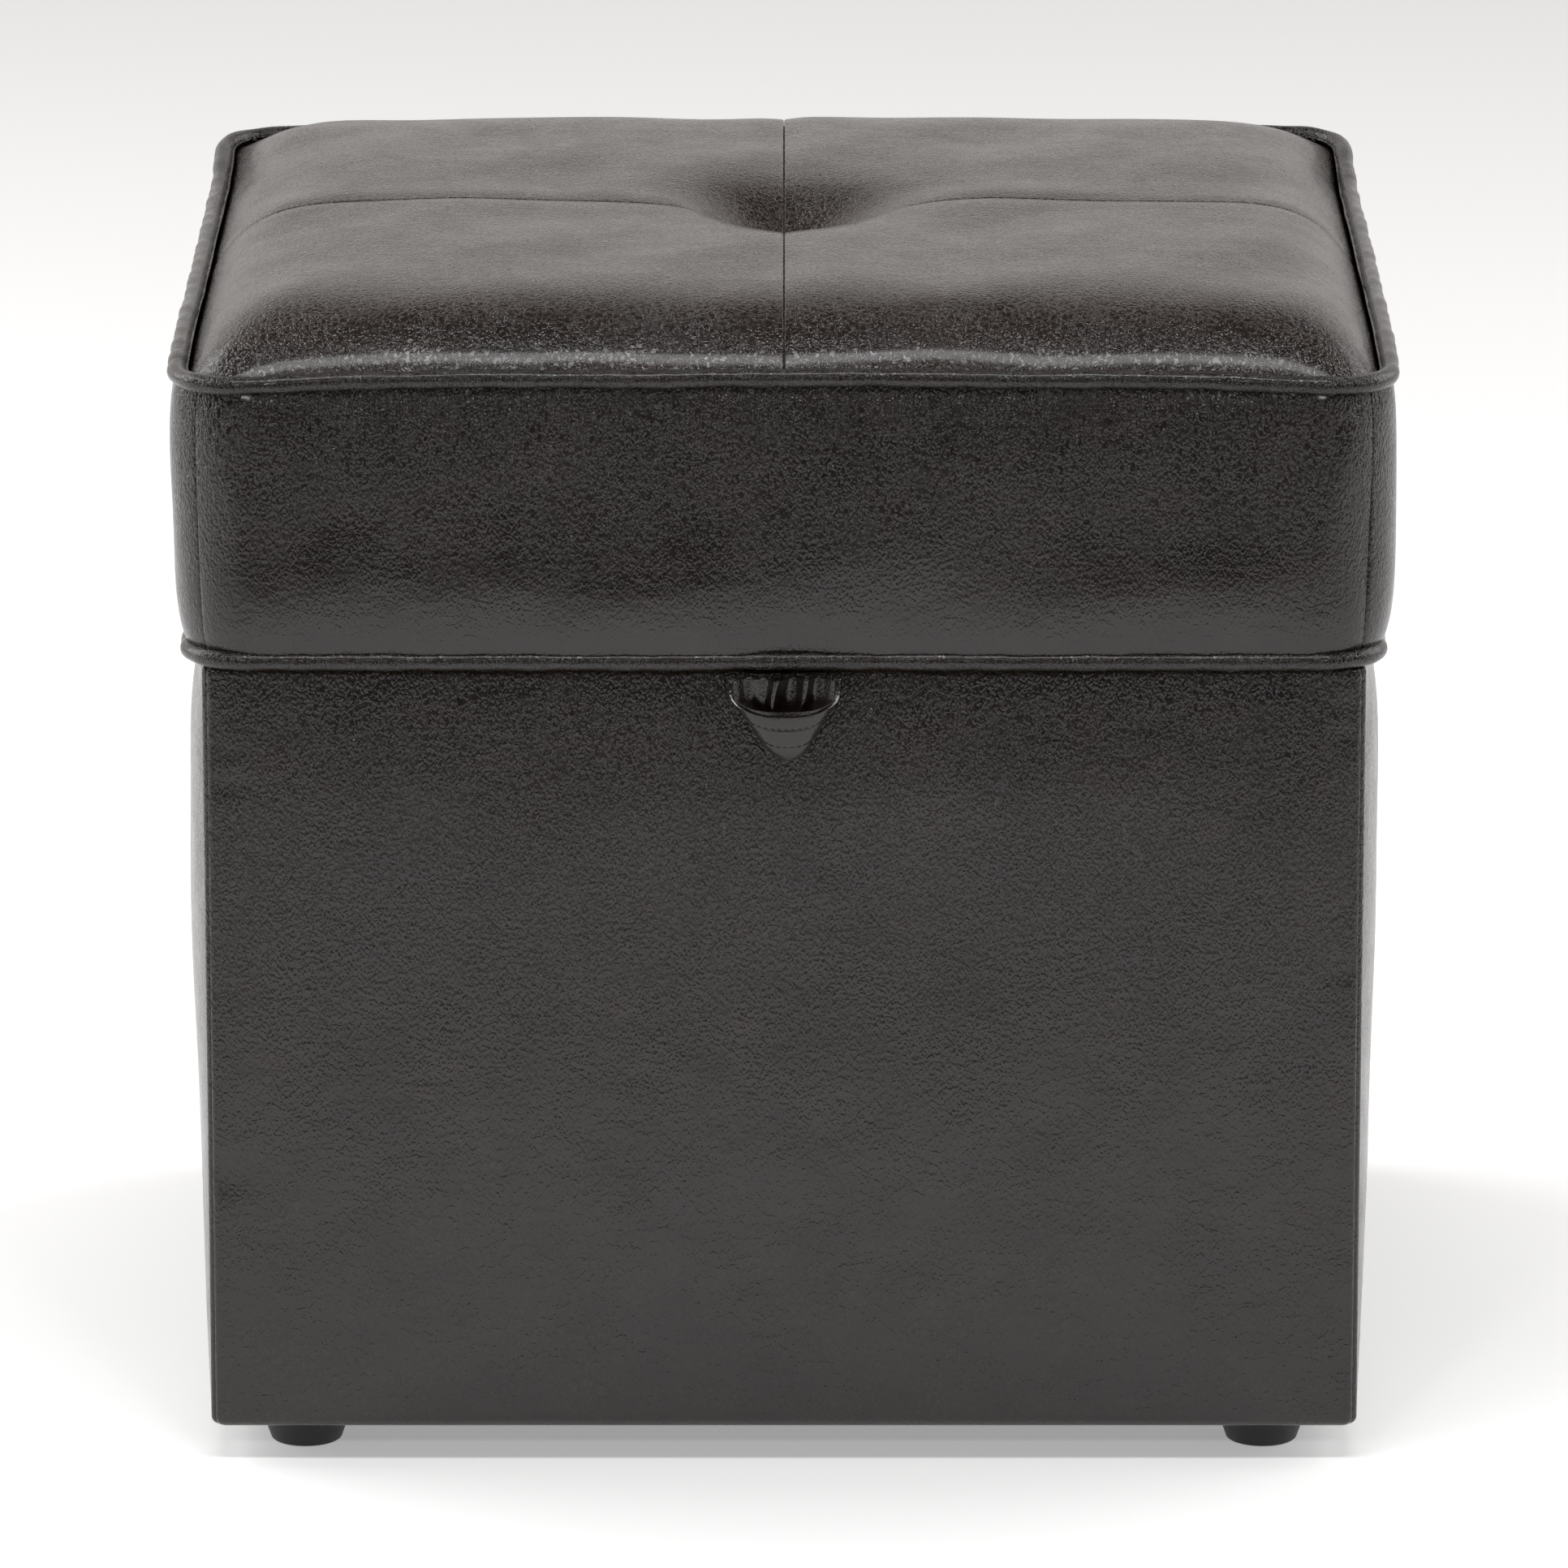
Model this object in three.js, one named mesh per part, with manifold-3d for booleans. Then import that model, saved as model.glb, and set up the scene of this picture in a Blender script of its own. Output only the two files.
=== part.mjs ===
// Storage ottoman: a padded wooden box on four glides, with a hinged cushion lid and a pull tab.
// Millimetres, +Z up, front towards -Y, origin on the floor under the middle of the box.

import * as THREE from 'three';
import { mergeVertices } from 'three/addons/utils/BufferGeometryUtils.js';
import Module from 'manifold-3d';

const wasm = await Module();
wasm.setup();

// ---- driving dimensions -------------------------------------------------------------------

const GAP = 0.3;            // clearance between pieces that touch
const LEATHER = 1.2;        // thickness of the coated cover
const FABRIC = 0.8;         // thickness of liners

// wooden box
const BOX_HALF_X = 214;
const BOX_HALF_Y = 199.5;
const BOARD = 12;
const BOX_BOTTOM = 16.3;
const BOX_TOP = 309.6;
const FLOOR_BOARD = 9;
const POST_LEG = 44;        // legs of the triangular corner posts

// padded cover of the box
const SEAM_HALF_X = 217;    // where the corner seams run
const SEAM_HALF_Y = 202;
const RIM_TOP = 311.1;
const HEM_BOTTOM = 14.8;
const RIM_REACH = 14.4;     // how far the cover turns in over the rim
const HEM_REACH = 22;       // how far it turns in under the box
const EDGE_ROUND = 0.8;
const SIDE_BULGE = 10.5;
const FRONT_BULGE = 4;
const FOAM_SHY = 3;         // the padding stops this short of the rim and the hem
const FOAM_SHARE = 0.5;     // how much of the cover's bulge the padding takes up

// feet
const FOOT_X = 183;
const FOOT_Y = 171;
const FOOT_HEIGHT = 14.5;
const FOOT_TOP_R = 17.5;
const FOOT_BASE_R = 14;
const FOOT_BORE_R = 2.4;
const FOOT_RECESS_R = 5;
const FOOT_RECESS = 7;
const FOOT_SCREW_R = 1.9;
const FOOT_SCREW_HEAD_R = 4.2;
const FOOT_SCREW_HEAD = 2.6;
const FOOT_SCREW_TIP_Z = 48;

// lid
const LINING_BOTTOM = 311.9;
const LID_BOARD_BOTTOM = 313.1;
const LID_BOARD_TOP = 325.1;
const LID_BOARD_HALF_X = 219.2;
const LID_BOARD_HALF_Y = 204.2;
const LID_BOARD_CORNER = 22;
const LINING_INSET = 4;
const FOAM_HALF_X = 221.3;
const FOAM_HALF_Y = 206.3;
const FOAM_CORNER = 24;
const LOWER_PIPING = { halfX: 223.1, halfY: 208.1, z: 315.4, radius: 3.4, corner: 23 };
const UPPER_PIPING = { halfX: 226.5, halfY: 211.5, z: 424, radius: 3.5, corner: 25 };
const BAND_BOTTOM_HALF_X = 223.6;
const BAND_BOTTOM_HALF_Y = 208.6;
const BAND_TOP_HALF_X = 225.5;
const BAND_TOP_HALF_Y = 210.5;
const BAND_BULGE = 4.8;
const TOP_HALF_X = 222.6;
const TOP_HALF_Y = 207.6;
const TOP_CORNER = 22;
const TOP_EDGE_Z = 424.5;
const CROWN = 25.5;         // rise of the seat above its piping
const ROLL = 16;            // how quickly the seat rises from its edge
const TUFT_DEPTH = 23;
const TUFT_RADIUS = 34;
const FOAM_BELOW_TOP = 3;

// tuft cord and its washer, in a pocket under the lid board
const CORD_R = 1.2;
const CORD_HOLE_R = 2;
const WASHER_R = 10;
const WASHER = 2;
const WASHER_POCKET_R = 11.5;
const WASHER_POCKET = 5;

// butt hinges
const HINGE_X = 130;
const HINGE_HALF_WIDTH = 25;
const HINGE_AXIS_Y = 203.4;
const HINGE_AXIS_Z = 311.35;
const KNUCKLE_R = 2.3;
const PIN_R = 1.1;
const PIN_BORE_R = 1.25;
const LEAF = 1.2;
const LEAF_LENGTH = 14;     // from the axis to the free edge of each leaf
const BASE_LEAF_BOTTOM = 309.9;
const LID_LEAF_BOTTOM = 311.6;
const HINGE_SCREW_X = 16;
const HINGE_SCREW_Y = 193.5;
const HINGE_SCREW_R = 1.2;
const HINGE_SCREW_HEAD_R = 2.4;
const HINGE_SCREW_LENGTH = 10;
const LEAF_HOLE_R = 1.5;

// pull tab
const TAB_AXIS_Y = -209.5;  // it swings about a line under the front piping
const TAB_TOP_Z = 309.9;
const TAB_TIP_Z = 278.5;
const TAB_HALF_WIDTH = 21.5;
const TAB_BACK_Y = -206.8;
const TAB_DEPTH = 11;
const ANCHOR_HALF_WIDTH = 15;
const ANCHOR_LENGTH = 24;

// ---- materials ----------------------------------------------------------------------------

const finish = (color, roughness, metalness = 0) => (
  new THREE.MeshStandardMaterial({ color, roughness, metalness })
);
const FINISH = {
  leather: () => finish(0x2a2321, 0.34),
  piping: () => finish(0x1d1715, 0.25),
  foam: () => finish(0xd9cfa6, 0.95),
  wood: () => finish(0xb58d5f, 0.7),
  liner: () => finish(0x26262a, 0.9),
  plastic: () => finish(0x141414, 0.45),
  steel: () => finish(0x9a9a9c, 0.35, 1),
  cord: () => finish(0x2b2b2b, 0.8),
};

// ---- solids -------------------------------------------------------------------------------

// Signed volume of an indexed closed mesh: positive when its faces point out.
function signedVolume(geometry) {
  const position = geometry.getAttribute('position');
  const corners = [new THREE.Vector3(), new THREE.Vector3(), new THREE.Vector3()];
  let volume = 0;
  for (let i = 0; i < geometry.index.count; i += 3) {
    corners.forEach((corner, k) => corner.fromBufferAttribute(position, geometry.index.getX(i + k)));
    volume += corners[0].dot(corners[1].clone().cross(corners[2])) / 6;
  }
  return volume;
}

// An indexed geometry from points and triangles, turned so that its faces point out.
function closedGeometry(positions, triangles) {
  const geometry = new THREE.BufferGeometry();
  geometry.setAttribute('position', new THREE.Float32BufferAttribute(positions, 3));
  geometry.setIndex(triangles);
  if (signedVolume(geometry) < 0) {
    geometry.setIndex(triangles.slice().reverse());
  }
  return geometry;
}

function toSolid(geometry) {
  const bare = geometry.clone();
  bare.deleteAttribute('normal');
  bare.deleteAttribute('uv');
  const merged = mergeVertices(bare, 1e-4);
  return new wasm.Manifold(new wasm.Mesh({
    numProp: 3,
    vertProperties: new Float32Array(merged.getAttribute('position').array),
    triVerts: new Uint32Array(merged.index.array),
  }));
}

function fromSolid(solid) {
  const mesh = solid.getMesh();
  const geometry = new THREE.BufferGeometry();
  geometry.setAttribute('position', new THREE.BufferAttribute(mesh.vertProperties, 3));
  geometry.setIndex(new THREE.BufferAttribute(mesh.triVerts, 1));
  return geometry;
}

function joined(...geometries) {
  return fromSolid(geometries.map(toSolid).reduce((whole, piece) => whole.add(piece)));
}

function cut(geometry, ...tools) {
  return fromSolid(tools.map(toSolid).reduce((whole, tool) => whole.subtract(tool), toSolid(geometry)));
}

// A box between two values on each axis.
function block([x0, x1], [y0, y1], [z0, z1]) {
  const box = new THREE.BoxGeometry(x1 - x0, y1 - y0, z1 - z0);
  return box.translate((x0 + x1) / 2, (y0 + y1) / 2, (z0 + z1) / 2);
}

// A solid of revolution about a vertical axis; the profile lists [radius, z] and closes itself.
function turned(profile, x, y, segments) {
  const outline = [...profile, profile[0]].map(([r, z]) => new THREE.Vector2(r, z));
  if (THREE.ShapeUtils.isClockWise(outline)) {
    outline.reverse();
  }
  return new THREE.LatheGeometry(outline, segments).rotateX(Math.PI / 2).translate(x, y, 0);
}

function hole(x, y, radius, z0, z1, segments = 10) {
  return turned([[0, z0], [radius, z0], [radius, z1], [0, z1]], x, y, segments);
}

// A cylinder along X.
function rod(x0, x1, y, z, radius, segments = 16) {
  const cylinder = new THREE.CylinderGeometry(radius, radius, x1 - x0, segments);
  return cylinder.rotateZ(Math.PI / 2).translate((x0 + x1) / 2, y, z);
}

// The solid between two sheets of the same grid. Each sheet maps (s, t) in 0..1 to a point.
// A radial slab runs every cell's diagonal towards the middle of the grid.
function slab(columns, rows, front, back, radial = false) {
  const positions = [];
  for (const sheet of [front, back]) {
    for (let i = 0; i <= columns; i += 1) {
      for (let j = 0; j <= rows; j += 1) {
        positions.push(...sheet(i / columns, j / rows));
      }
    }
  }
  const size = (columns + 1) * (rows + 1);
  const at = (i, j) => i * (rows + 1) + j;
  const triangles = [];
  const quad = (a, b, c, d) => triangles.push(a, b, c, a, c, d);
  for (let i = 0; i < columns; i += 1) {
    for (let j = 0; j < rows; j += 1) {
      const cell = [at(i, j), at(i + 1, j), at(i + 1, j + 1), at(i, j + 1)];
      if (radial && i < columns / 2 !== j < rows / 2) {
        cell.push(cell.shift());
      }
      const [a, b, c, d] = cell;
      quad(a, b, c, d);
      quad(size + a, size + d, size + c, size + b);
    }
  }
  const rim = [];
  for (let i = 0; i < columns; i += 1) rim.push(at(i, 0));
  for (let j = 0; j < rows; j += 1) rim.push(at(columns, j));
  for (let i = columns; i > 0; i -= 1) rim.push(at(i, rows));
  for (let j = rows; j > 0; j -= 1) rim.push(at(0, j));
  rim.forEach((a, k) => {
    const b = rim[(k + 1) % rim.length];
    quad(b, a, size + a, size + b);
  });
  return closedGeometry(positions, triangles);
}

// A tube whose centre line is a closed loop of {point: [x, y], out: [x, y]} at one height.
function closedTube(loop, z, radius, sides = 8) {
  const positions = [];
  for (const { point, out } of loop) {
    for (let k = 0; k < sides; k += 1) {
      const angle = ((k + 0.5) / sides) * 2 * Math.PI;
      const reach = radius * Math.cos(angle);
      positions.push(point[0] + out[0] * reach, point[1] + out[1] * reach, z + radius * Math.sin(angle));
    }
  }
  const triangles = [];
  for (let i = 0; i < loop.length; i += 1) {
    const next = (i + 1) % loop.length;
    for (let k = 0; k < sides; k += 1) {
      const l = (k + 1) % sides;
      const [a, b, c, d] = [i * sides + k, next * sides + k, next * sides + l, i * sides + l];
      triangles.push(a, b, c, a, c, d);
    }
  }
  return closedGeometry(positions, triangles);
}

// ---- plan outlines ------------------------------------------------------------------------

// Each side of the box: its outward direction and the direction that runs along it.
const SIDES = {
  front: { out: [0, -1], along: [1, 0] },
  back: { out: [0, 1], along: [-1, 0] },
  left: { out: [-1, 0], along: [0, -1] },
  right: { out: [1, 0], along: [0, 1] },
};

const isLong = (side) => side === 'front' || side === 'back';

// The plan point that is `reach` out and `across` along a side.
function planPoint(side, reach, across) {
  const { out, along } = SIDES[side];
  return [out[0] * reach + along[0] * across, out[1] * reach + along[1] * across];
}

// One side of a rounded rectangle, from one corner's diagonal (s = -1) to the next (s = 1).
const CORNER_SHARE = 0.25;
const CORNER_TURN = (Math.PI / 4) * 0.985;

function roundedSide(side, s, halfX, halfY, corner) {
  const reach = isLong(side) ? halfY : halfX;
  const straight = (isLong(side) ? halfX : halfY) - corner;
  const turn = (Math.max(Math.abs(s) - (1 - CORNER_SHARE), 0) / CORNER_SHARE) * CORNER_TURN;
  const run = Math.min(Math.abs(s) / (1 - CORNER_SHARE), 1) * straight;
  const across = Math.sign(s) * (run + corner * Math.sin(turn));
  const point = planPoint(side, reach - corner * (1 - Math.cos(turn)), across);
  const out = planPoint(side, Math.cos(turn), Math.sign(s) * Math.sin(turn));
  return { point, out };
}

// The whole rounded rectangle as a loop of points with their outward directions.
function roundedLoop(halfX, halfY, corner, cornerSteps) {
  const loop = [];
  [[1, -1], [1, 1], [-1, 1], [-1, -1]].forEach(([sx, sy], quarter) => {
    for (let k = 0; k <= cornerSteps; k += 1) {
      const angle = (quarter - 1 + k / cornerSteps) * (Math.PI / 2);
      const out = [Math.cos(angle), Math.sin(angle)];
      const point = [sx * (halfX - corner) + out[0] * corner, sy * (halfY - corner) + out[1] * corner];
      loop.push({ point, out });
    }
  });
  return loop;
}

// The square -1..1 drawn onto a rounded rectangle.
function roundedPlan(u, v, halfX, halfY, corner) {
  const x = Math.abs(u) * halfX;
  const y = Math.abs(v) * halfY;
  const a = Math.max(x - (halfX - corner), 0) / corner;
  const b = Math.max(y - (halfY - corner), 0) / corner;
  const rx = a > 0 ? halfX - corner + corner * a * Math.sqrt(1 - (b * b) / 2) : x;
  const ry = b > 0 ? halfY - corner + corner * b * Math.sqrt(1 - (a * a) / 2) : y;
  return [Math.sign(u) * rx, Math.sign(v) * ry];
}

// ---- padded shapes ------------------------------------------------------------------------

// Spreads even steps so that they crowd towards both edges.
const crowdBoth = (s) => Math.sin((s - 0.5) * Math.PI);

// How far the cover of the box stands out of its seam plane; u runs -1..1 across the panel.
function coverBulge(side, u, z) {
  const full = isLong(side) ? FRONT_BULGE : SIDE_BULGE;
  const w = Math.min(Math.max((z - HEM_BOTTOM) / (RIM_TOP - HEM_BOTTOM), 0), 1);
  return full * (1 - Math.abs(u) ** 6) * w ** 0.4 * (1 - 0.85 * w ** 16);
}

// Height of the seat cover over the plan.
function seatHeight(x, y) {
  const ax = Math.abs(x) - (TOP_HALF_X - TOP_CORNER);
  const ay = Math.abs(y) - (TOP_HALF_Y - TOP_CORNER);
  const outside = Math.hypot(Math.max(ax, 0), Math.max(ay, 0)) + Math.min(Math.max(ax, ay), 0);
  const inset = Math.max(TOP_CORNER - outside, 0);
  const spread = ((x * x + y * y) / TUFT_RADIUS ** 2) ** 0.8;
  const dimple = TUFT_DEPTH * Math.exp(-spread);
  return TOP_EDGE_Z + CROWN * (1 - Math.exp(-inset / ROLL)) - dimple;
}

// ---- box ----------------------------------------------------------------------------------

const hingeXs = [-HINGE_X, HINGE_X];
const feetAt = { fl: [-FOOT_X, -FOOT_Y], fr: [FOOT_X, -FOOT_Y], bl: [-FOOT_X, FOOT_Y], br: [FOOT_X, FOOT_Y] };

function longBoard(front) {
  const [y0, y1] = front ? [-BOX_HALF_Y, BOARD - BOX_HALF_Y] : [BOX_HALF_Y - BOARD, BOX_HALF_Y];
  return block([-BOX_HALF_X, BOX_HALF_X], [y0, y1], [BOX_BOTTOM, BOX_TOP]);
}

function backBoard() {
  const holes = hingeXs.flatMap((x) => [-1, 1].map((s) => (
    hole(x + s * HINGE_SCREW_X, HINGE_SCREW_Y, LEAF_HOLE_R, BOX_TOP - HINGE_SCREW_LENGTH - 1, BOX_TOP + 1)
  )));
  return cut(longBoard(false), ...holes);
}

function sideBoard(left) {
  const [x0, x1] = left ? [-BOX_HALF_X, BOARD - BOX_HALF_X] : [BOX_HALF_X - BOARD, BOX_HALF_X];
  const half = BOX_HALF_Y - BOARD - GAP;
  return block([x0, x1], [-half, half], [BOX_BOTTOM, BOX_TOP]);
}

function floorBoard() {
  const x = BOX_HALF_X - BOARD - GAP;
  const y = BOX_HALF_Y - BOARD - GAP;
  const board = block([-x, x], [-y, y], [BOX_BOTTOM, BOX_BOTTOM + FLOOR_BOARD]);
  const holes = Object.values(feetAt).map(([fx, fy]) => (
    hole(fx, fy, FOOT_BORE_R, BOX_BOTTOM - 1, BOX_BOTTOM + FLOOR_BOARD + 1)
  ));
  return cut(board, ...holes);
}

const postBottom = BOX_BOTTOM + FLOOR_BOARD + GAP;

function cornerPost([fx, fy]) {
  const x = Math.sign(fx) * (BOX_HALF_X - BOARD - GAP);
  const y = Math.sign(fy) * (BOX_HALF_Y - BOARD - GAP);
  const triangle = new THREE.Shape([
    new THREE.Vector2(x, y),
    new THREE.Vector2(x - Math.sign(fx) * POST_LEG, y),
    new THREE.Vector2(x, y - Math.sign(fy) * POST_LEG),
  ]);
  const height = BOX_TOP - postBottom;
  const post = new THREE.ExtrudeGeometry(triangle, { depth: height, bevelEnabled: false });
  post.translate(0, 0, postBottom);
  return cut(post, hole(fx, fy, FOOT_BORE_R, postBottom - 1, FOOT_SCREW_TIP_Z + 2));
}

// An eight-sided prism that fits inside the boards and the corner posts.
function octagonPrism(inset, z0, z1) {
  const x = BOX_HALF_X - BOARD - GAP - inset;
  const y = BOX_HALF_Y - BOARD - GAP - inset;
  const leg = POST_LEG + GAP - inset * (2 - Math.SQRT2) * 0.9;
  const corners = [
    [x, leg - y], [x, y - leg], [x - leg, y], [leg - x, y],
    [-x, y - leg], [-x, leg - y], [leg - x, -y], [x - leg, -y],
  ];
  const shape = new THREE.Shape(corners.map(([a, b]) => new THREE.Vector2(a, b)));
  const prism = new THREE.ExtrudeGeometry(shape, { depth: z1 - z0, bevelEnabled: false });
  return prism.translate(0, 0, z0);
}

function storageLiner() {
  const outer = octagonPrism(GAP, postBottom, BOX_TOP);
  const inner = octagonPrism(GAP + FABRIC, postBottom + FABRIC, BOX_TOP + 1);
  return cut(outer, inner);
}

// ---- padding and cover of the box ---------------------------------------------------------

// Stations down the wrapped profile: [depth outside, z outside, depth inside, z inside, on face].
function coverStations() {
  const faceRows = 6;
  const stations = [
    [RIM_REACH, RIM_TOP, RIM_REACH, RIM_TOP - LEATHER, false],
    [EDGE_ROUND, RIM_TOP, LEATHER + EDGE_ROUND, RIM_TOP - LEATHER, false],
  ];
  for (let k = 0; k <= faceRows; k += 1) {
    const w = (1 - crowdBoth(k / faceRows)) / 2;
    const outer = THREE.MathUtils.lerp(HEM_BOTTOM + EDGE_ROUND, RIM_TOP - EDGE_ROUND, w);
    const inner = THREE.MathUtils.lerp(
      HEM_BOTTOM + LEATHER + EDGE_ROUND,
      RIM_TOP - LEATHER - EDGE_ROUND,
      w,
    );
    stations.push([0, outer, LEATHER, inner, true]);
  }
  stations.push([EDGE_ROUND, HEM_BOTTOM, LEATHER + EDGE_ROUND, HEM_BOTTOM + LEATHER, false]);
  stations.push([HEM_REACH, HEM_BOTTOM, HEM_REACH, HEM_BOTTOM + LEATHER, false]);
  return stations;
}

function baseCover(side) {
  const stations = coverStations();
  const reach = isLong(side) ? SEAM_HALF_Y : SEAM_HALF_X;
  const edge = isLong(side) ? SEAM_HALF_X : SEAM_HALF_Y;
  const faceHalf = isLong(side) ? edge - GAP / 2 : edge - LEATHER - GAP;
  const sheet = (inside) => (s, t) => {
    const station = stations[Math.round(t * (stations.length - 1))];
    const depth = station[inside ? 2 : 0];
    const z = station[inside ? 3 : 1];
    const u = crowdBoth(s);
    // turned-in strips are mitred at the corners
    const half = station[4] ? faceHalf : Math.min(faceHalf, edge - GAP - depth);
    const bulge = station[4] ? coverBulge(side, u, station[1]) : 0;
    return [...planPoint(side, reach - depth + bulge, u * half), z];
  };
  const cover = slab(8, stations.length - 1, sheet(false), sheet(true));
  return side === 'back' ? cut(cover, ...hingeXs.map(hingeNotch)) : cover;
}

function baseFoam(side) {
  const inner = (isLong(side) ? BOX_HALF_Y : BOX_HALF_X) + GAP;
  const outer = (isLong(side) ? SEAM_HALF_Y : SEAM_HALF_X) - LEATHER - GAP;
  const half = isLong(side) ? SEAM_HALF_X - LEATHER - 2 * GAP : BOX_HALF_Y;
  const z0 = BOX_BOTTOM + FOAM_SHY;
  const z1 = BOX_TOP - FOAM_SHY;
  const sheet = (onWood) => (s, t) => {
    const u = crowdBoth(s);
    const z = THREE.MathUtils.lerp(z0, z1, (1 + crowdBoth(t)) / 2);
    const soft = FOAM_SHARE * coverBulge(side, u, z);
    return [...planPoint(side, onWood ? inner : outer + soft, u * half), z];
  };
  const foam = slab(6, 6, sheet(false), sheet(true));
  return side === 'back' ? cut(foam, ...hingeXs.map(hingeNotch)) : foam;
}

function dustCover() {
  const x = SEAM_HALF_X - HEM_REACH - 2 * GAP;
  const y = SEAM_HALF_Y - HEM_REACH - 2 * GAP;
  const z1 = BOX_BOTTOM - GAP;
  const sheet = block([-x, x], [-y, y], [z1 - FABRIC, z1]);
  const holes = Object.values(feetAt).map(([fx, fy]) => hole(fx, fy, FOOT_BORE_R, z1 - 2, z1 + 1));
  return cut(sheet, ...holes);
}

function foot([x, y]) {
  return turned([
    [FOOT_BORE_R, FOOT_RECESS], [FOOT_RECESS_R, FOOT_RECESS], [FOOT_RECESS_R, 0],
    [FOOT_BASE_R - 2, 0], [FOOT_BASE_R, 1.2], [FOOT_TOP_R, FOOT_HEIGHT - 3],
    [FOOT_TOP_R, FOOT_HEIGHT], [FOOT_BORE_R, FOOT_HEIGHT],
  ], x, y, 20);
}

function footScrew([x, y]) {
  const headTop = FOOT_RECESS - GAP;
  return turned([
    [0, headTop - FOOT_SCREW_HEAD], [FOOT_SCREW_HEAD_R - 1, headTop - FOOT_SCREW_HEAD],
    [FOOT_SCREW_HEAD_R, headTop - 1], [FOOT_SCREW_HEAD_R, headTop], [FOOT_SCREW_R, headTop],
    [FOOT_SCREW_R, FOOT_SCREW_TIP_Z - 4], [0, FOOT_SCREW_TIP_Z],
  ], x, y, 12);
}

// ---- hinges -------------------------------------------------------------------------------

const knuckleShare = (2 * HINGE_HALF_WIDTH) / 3;

// Room for one hinge: its barrel and the leaf on the rim.
function hingeNotch(x) {
  const half = HINGE_HALF_WIDTH + 2 * GAP;
  const y0 = HINGE_AXIS_Y - LEAF_LENGTH - 4 * GAP;
  const rim = block([x - half, x + half], [y0 - 2, BOX_HALF_Y + 2], [BOX_TOP - GAP, RIM_TOP + 1]);
  const barrelLow = HINGE_AXIS_Z - KNUCKLE_R - GAP;
  const barrel = block([x - half, x + half], [BOX_HALF_Y, SEAM_HALF_Y + 10], [barrelLow, RIM_TOP + 1]);
  return joined(rim, barrel);
}

// A leaf with its knuckles; `inner` leaves carry the middle knuckle.
function hingeLeaf(x, bottom, inner) {
  const knuckles = inner ? [[-0.5, 0.5]] : [[-1.5, -0.5], [0.5, 1.5]];
  const spans = knuckles.map(([a, b]) => [x + a * knuckleShare + GAP / 2, x + b * knuckleShare - GAP / 2]);
  const freeEdge = HINGE_AXIS_Y - LEAF_LENGTH;
  const shoulder = HINGE_AXIS_Y - KNUCKLE_R - GAP;
  const plate = block(
    [x - HINGE_HALF_WIDTH, x + HINGE_HALF_WIDTH],
    [freeEdge, shoulder],
    [bottom, bottom + LEAF],
  );
  const tongues = spans.map((span) => block(span, [shoulder - 1, HINGE_AXIS_Y], [bottom, bottom + LEAF]));
  const barrels = spans.map(([a, b]) => rod(a, b, HINGE_AXIS_Y, HINGE_AXIS_Z, KNUCKLE_R));
  const bore = rod(x - 40, x + 40, HINGE_AXIS_Y, HINGE_AXIS_Z, PIN_BORE_R);
  const holes = [-1, 1].map((s) => countersink(x + s * HINGE_SCREW_X, bottom, inner ? 1 : -1));
  return cut(joined(plate, ...tongues, ...barrels), bore, ...holes);
}

function hingePin(x) {
  return rod(x - HINGE_HALF_WIDTH, x + HINGE_HALF_WIDTH, HINGE_AXIS_Y, HINGE_AXIS_Z, PIN_R, 12);
}

// Heights along a hinge screw, from its head in the leaf; `up` points from the head to the tip.
function alongScrew(leafBottom, up) {
  const head = up > 0 ? leafBottom : leafBottom + LEAF;
  return (depth) => head + up * depth;
}

function countersink(x, leafBottom, up) {
  const along = alongScrew(leafBottom, up);
  const mouth = HINGE_SCREW_HEAD_R + GAP;
  return turned([
    [0, along(-1)], [mouth, along(-1)], [mouth, along(0)],
    [LEAF_HOLE_R, along(LEAF)], [LEAF_HOLE_R, along(LEAF + 1)], [0, along(LEAF + 1)],
  ], x, HINGE_SCREW_Y, 12);
}

function hingeScrew(x, leafBottom, up) {
  const along = alongScrew(leafBottom, up);
  return turned([
    [0, along(0.1)], [HINGE_SCREW_HEAD_R, along(0.1)], [HINGE_SCREW_R, along(LEAF)],
    [HINGE_SCREW_R, along(HINGE_SCREW_LENGTH - 2)], [0, along(HINGE_SCREW_LENGTH)],
  ], x, HINGE_SCREW_Y, 12);
}

// ---- lid ----------------------------------------------------------------------------------

function roundedPlate(halfX, halfY, corner, z0, z1) {
  const outline = roundedLoop(halfX, halfY, corner, 5).map(({ point }) => new THREE.Vector2(...point));
  const plate = new THREE.ExtrudeGeometry(new THREE.Shape(outline), { depth: z1 - z0, bevelEnabled: false });
  return plate.translate(0, 0, z0);
}

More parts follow.
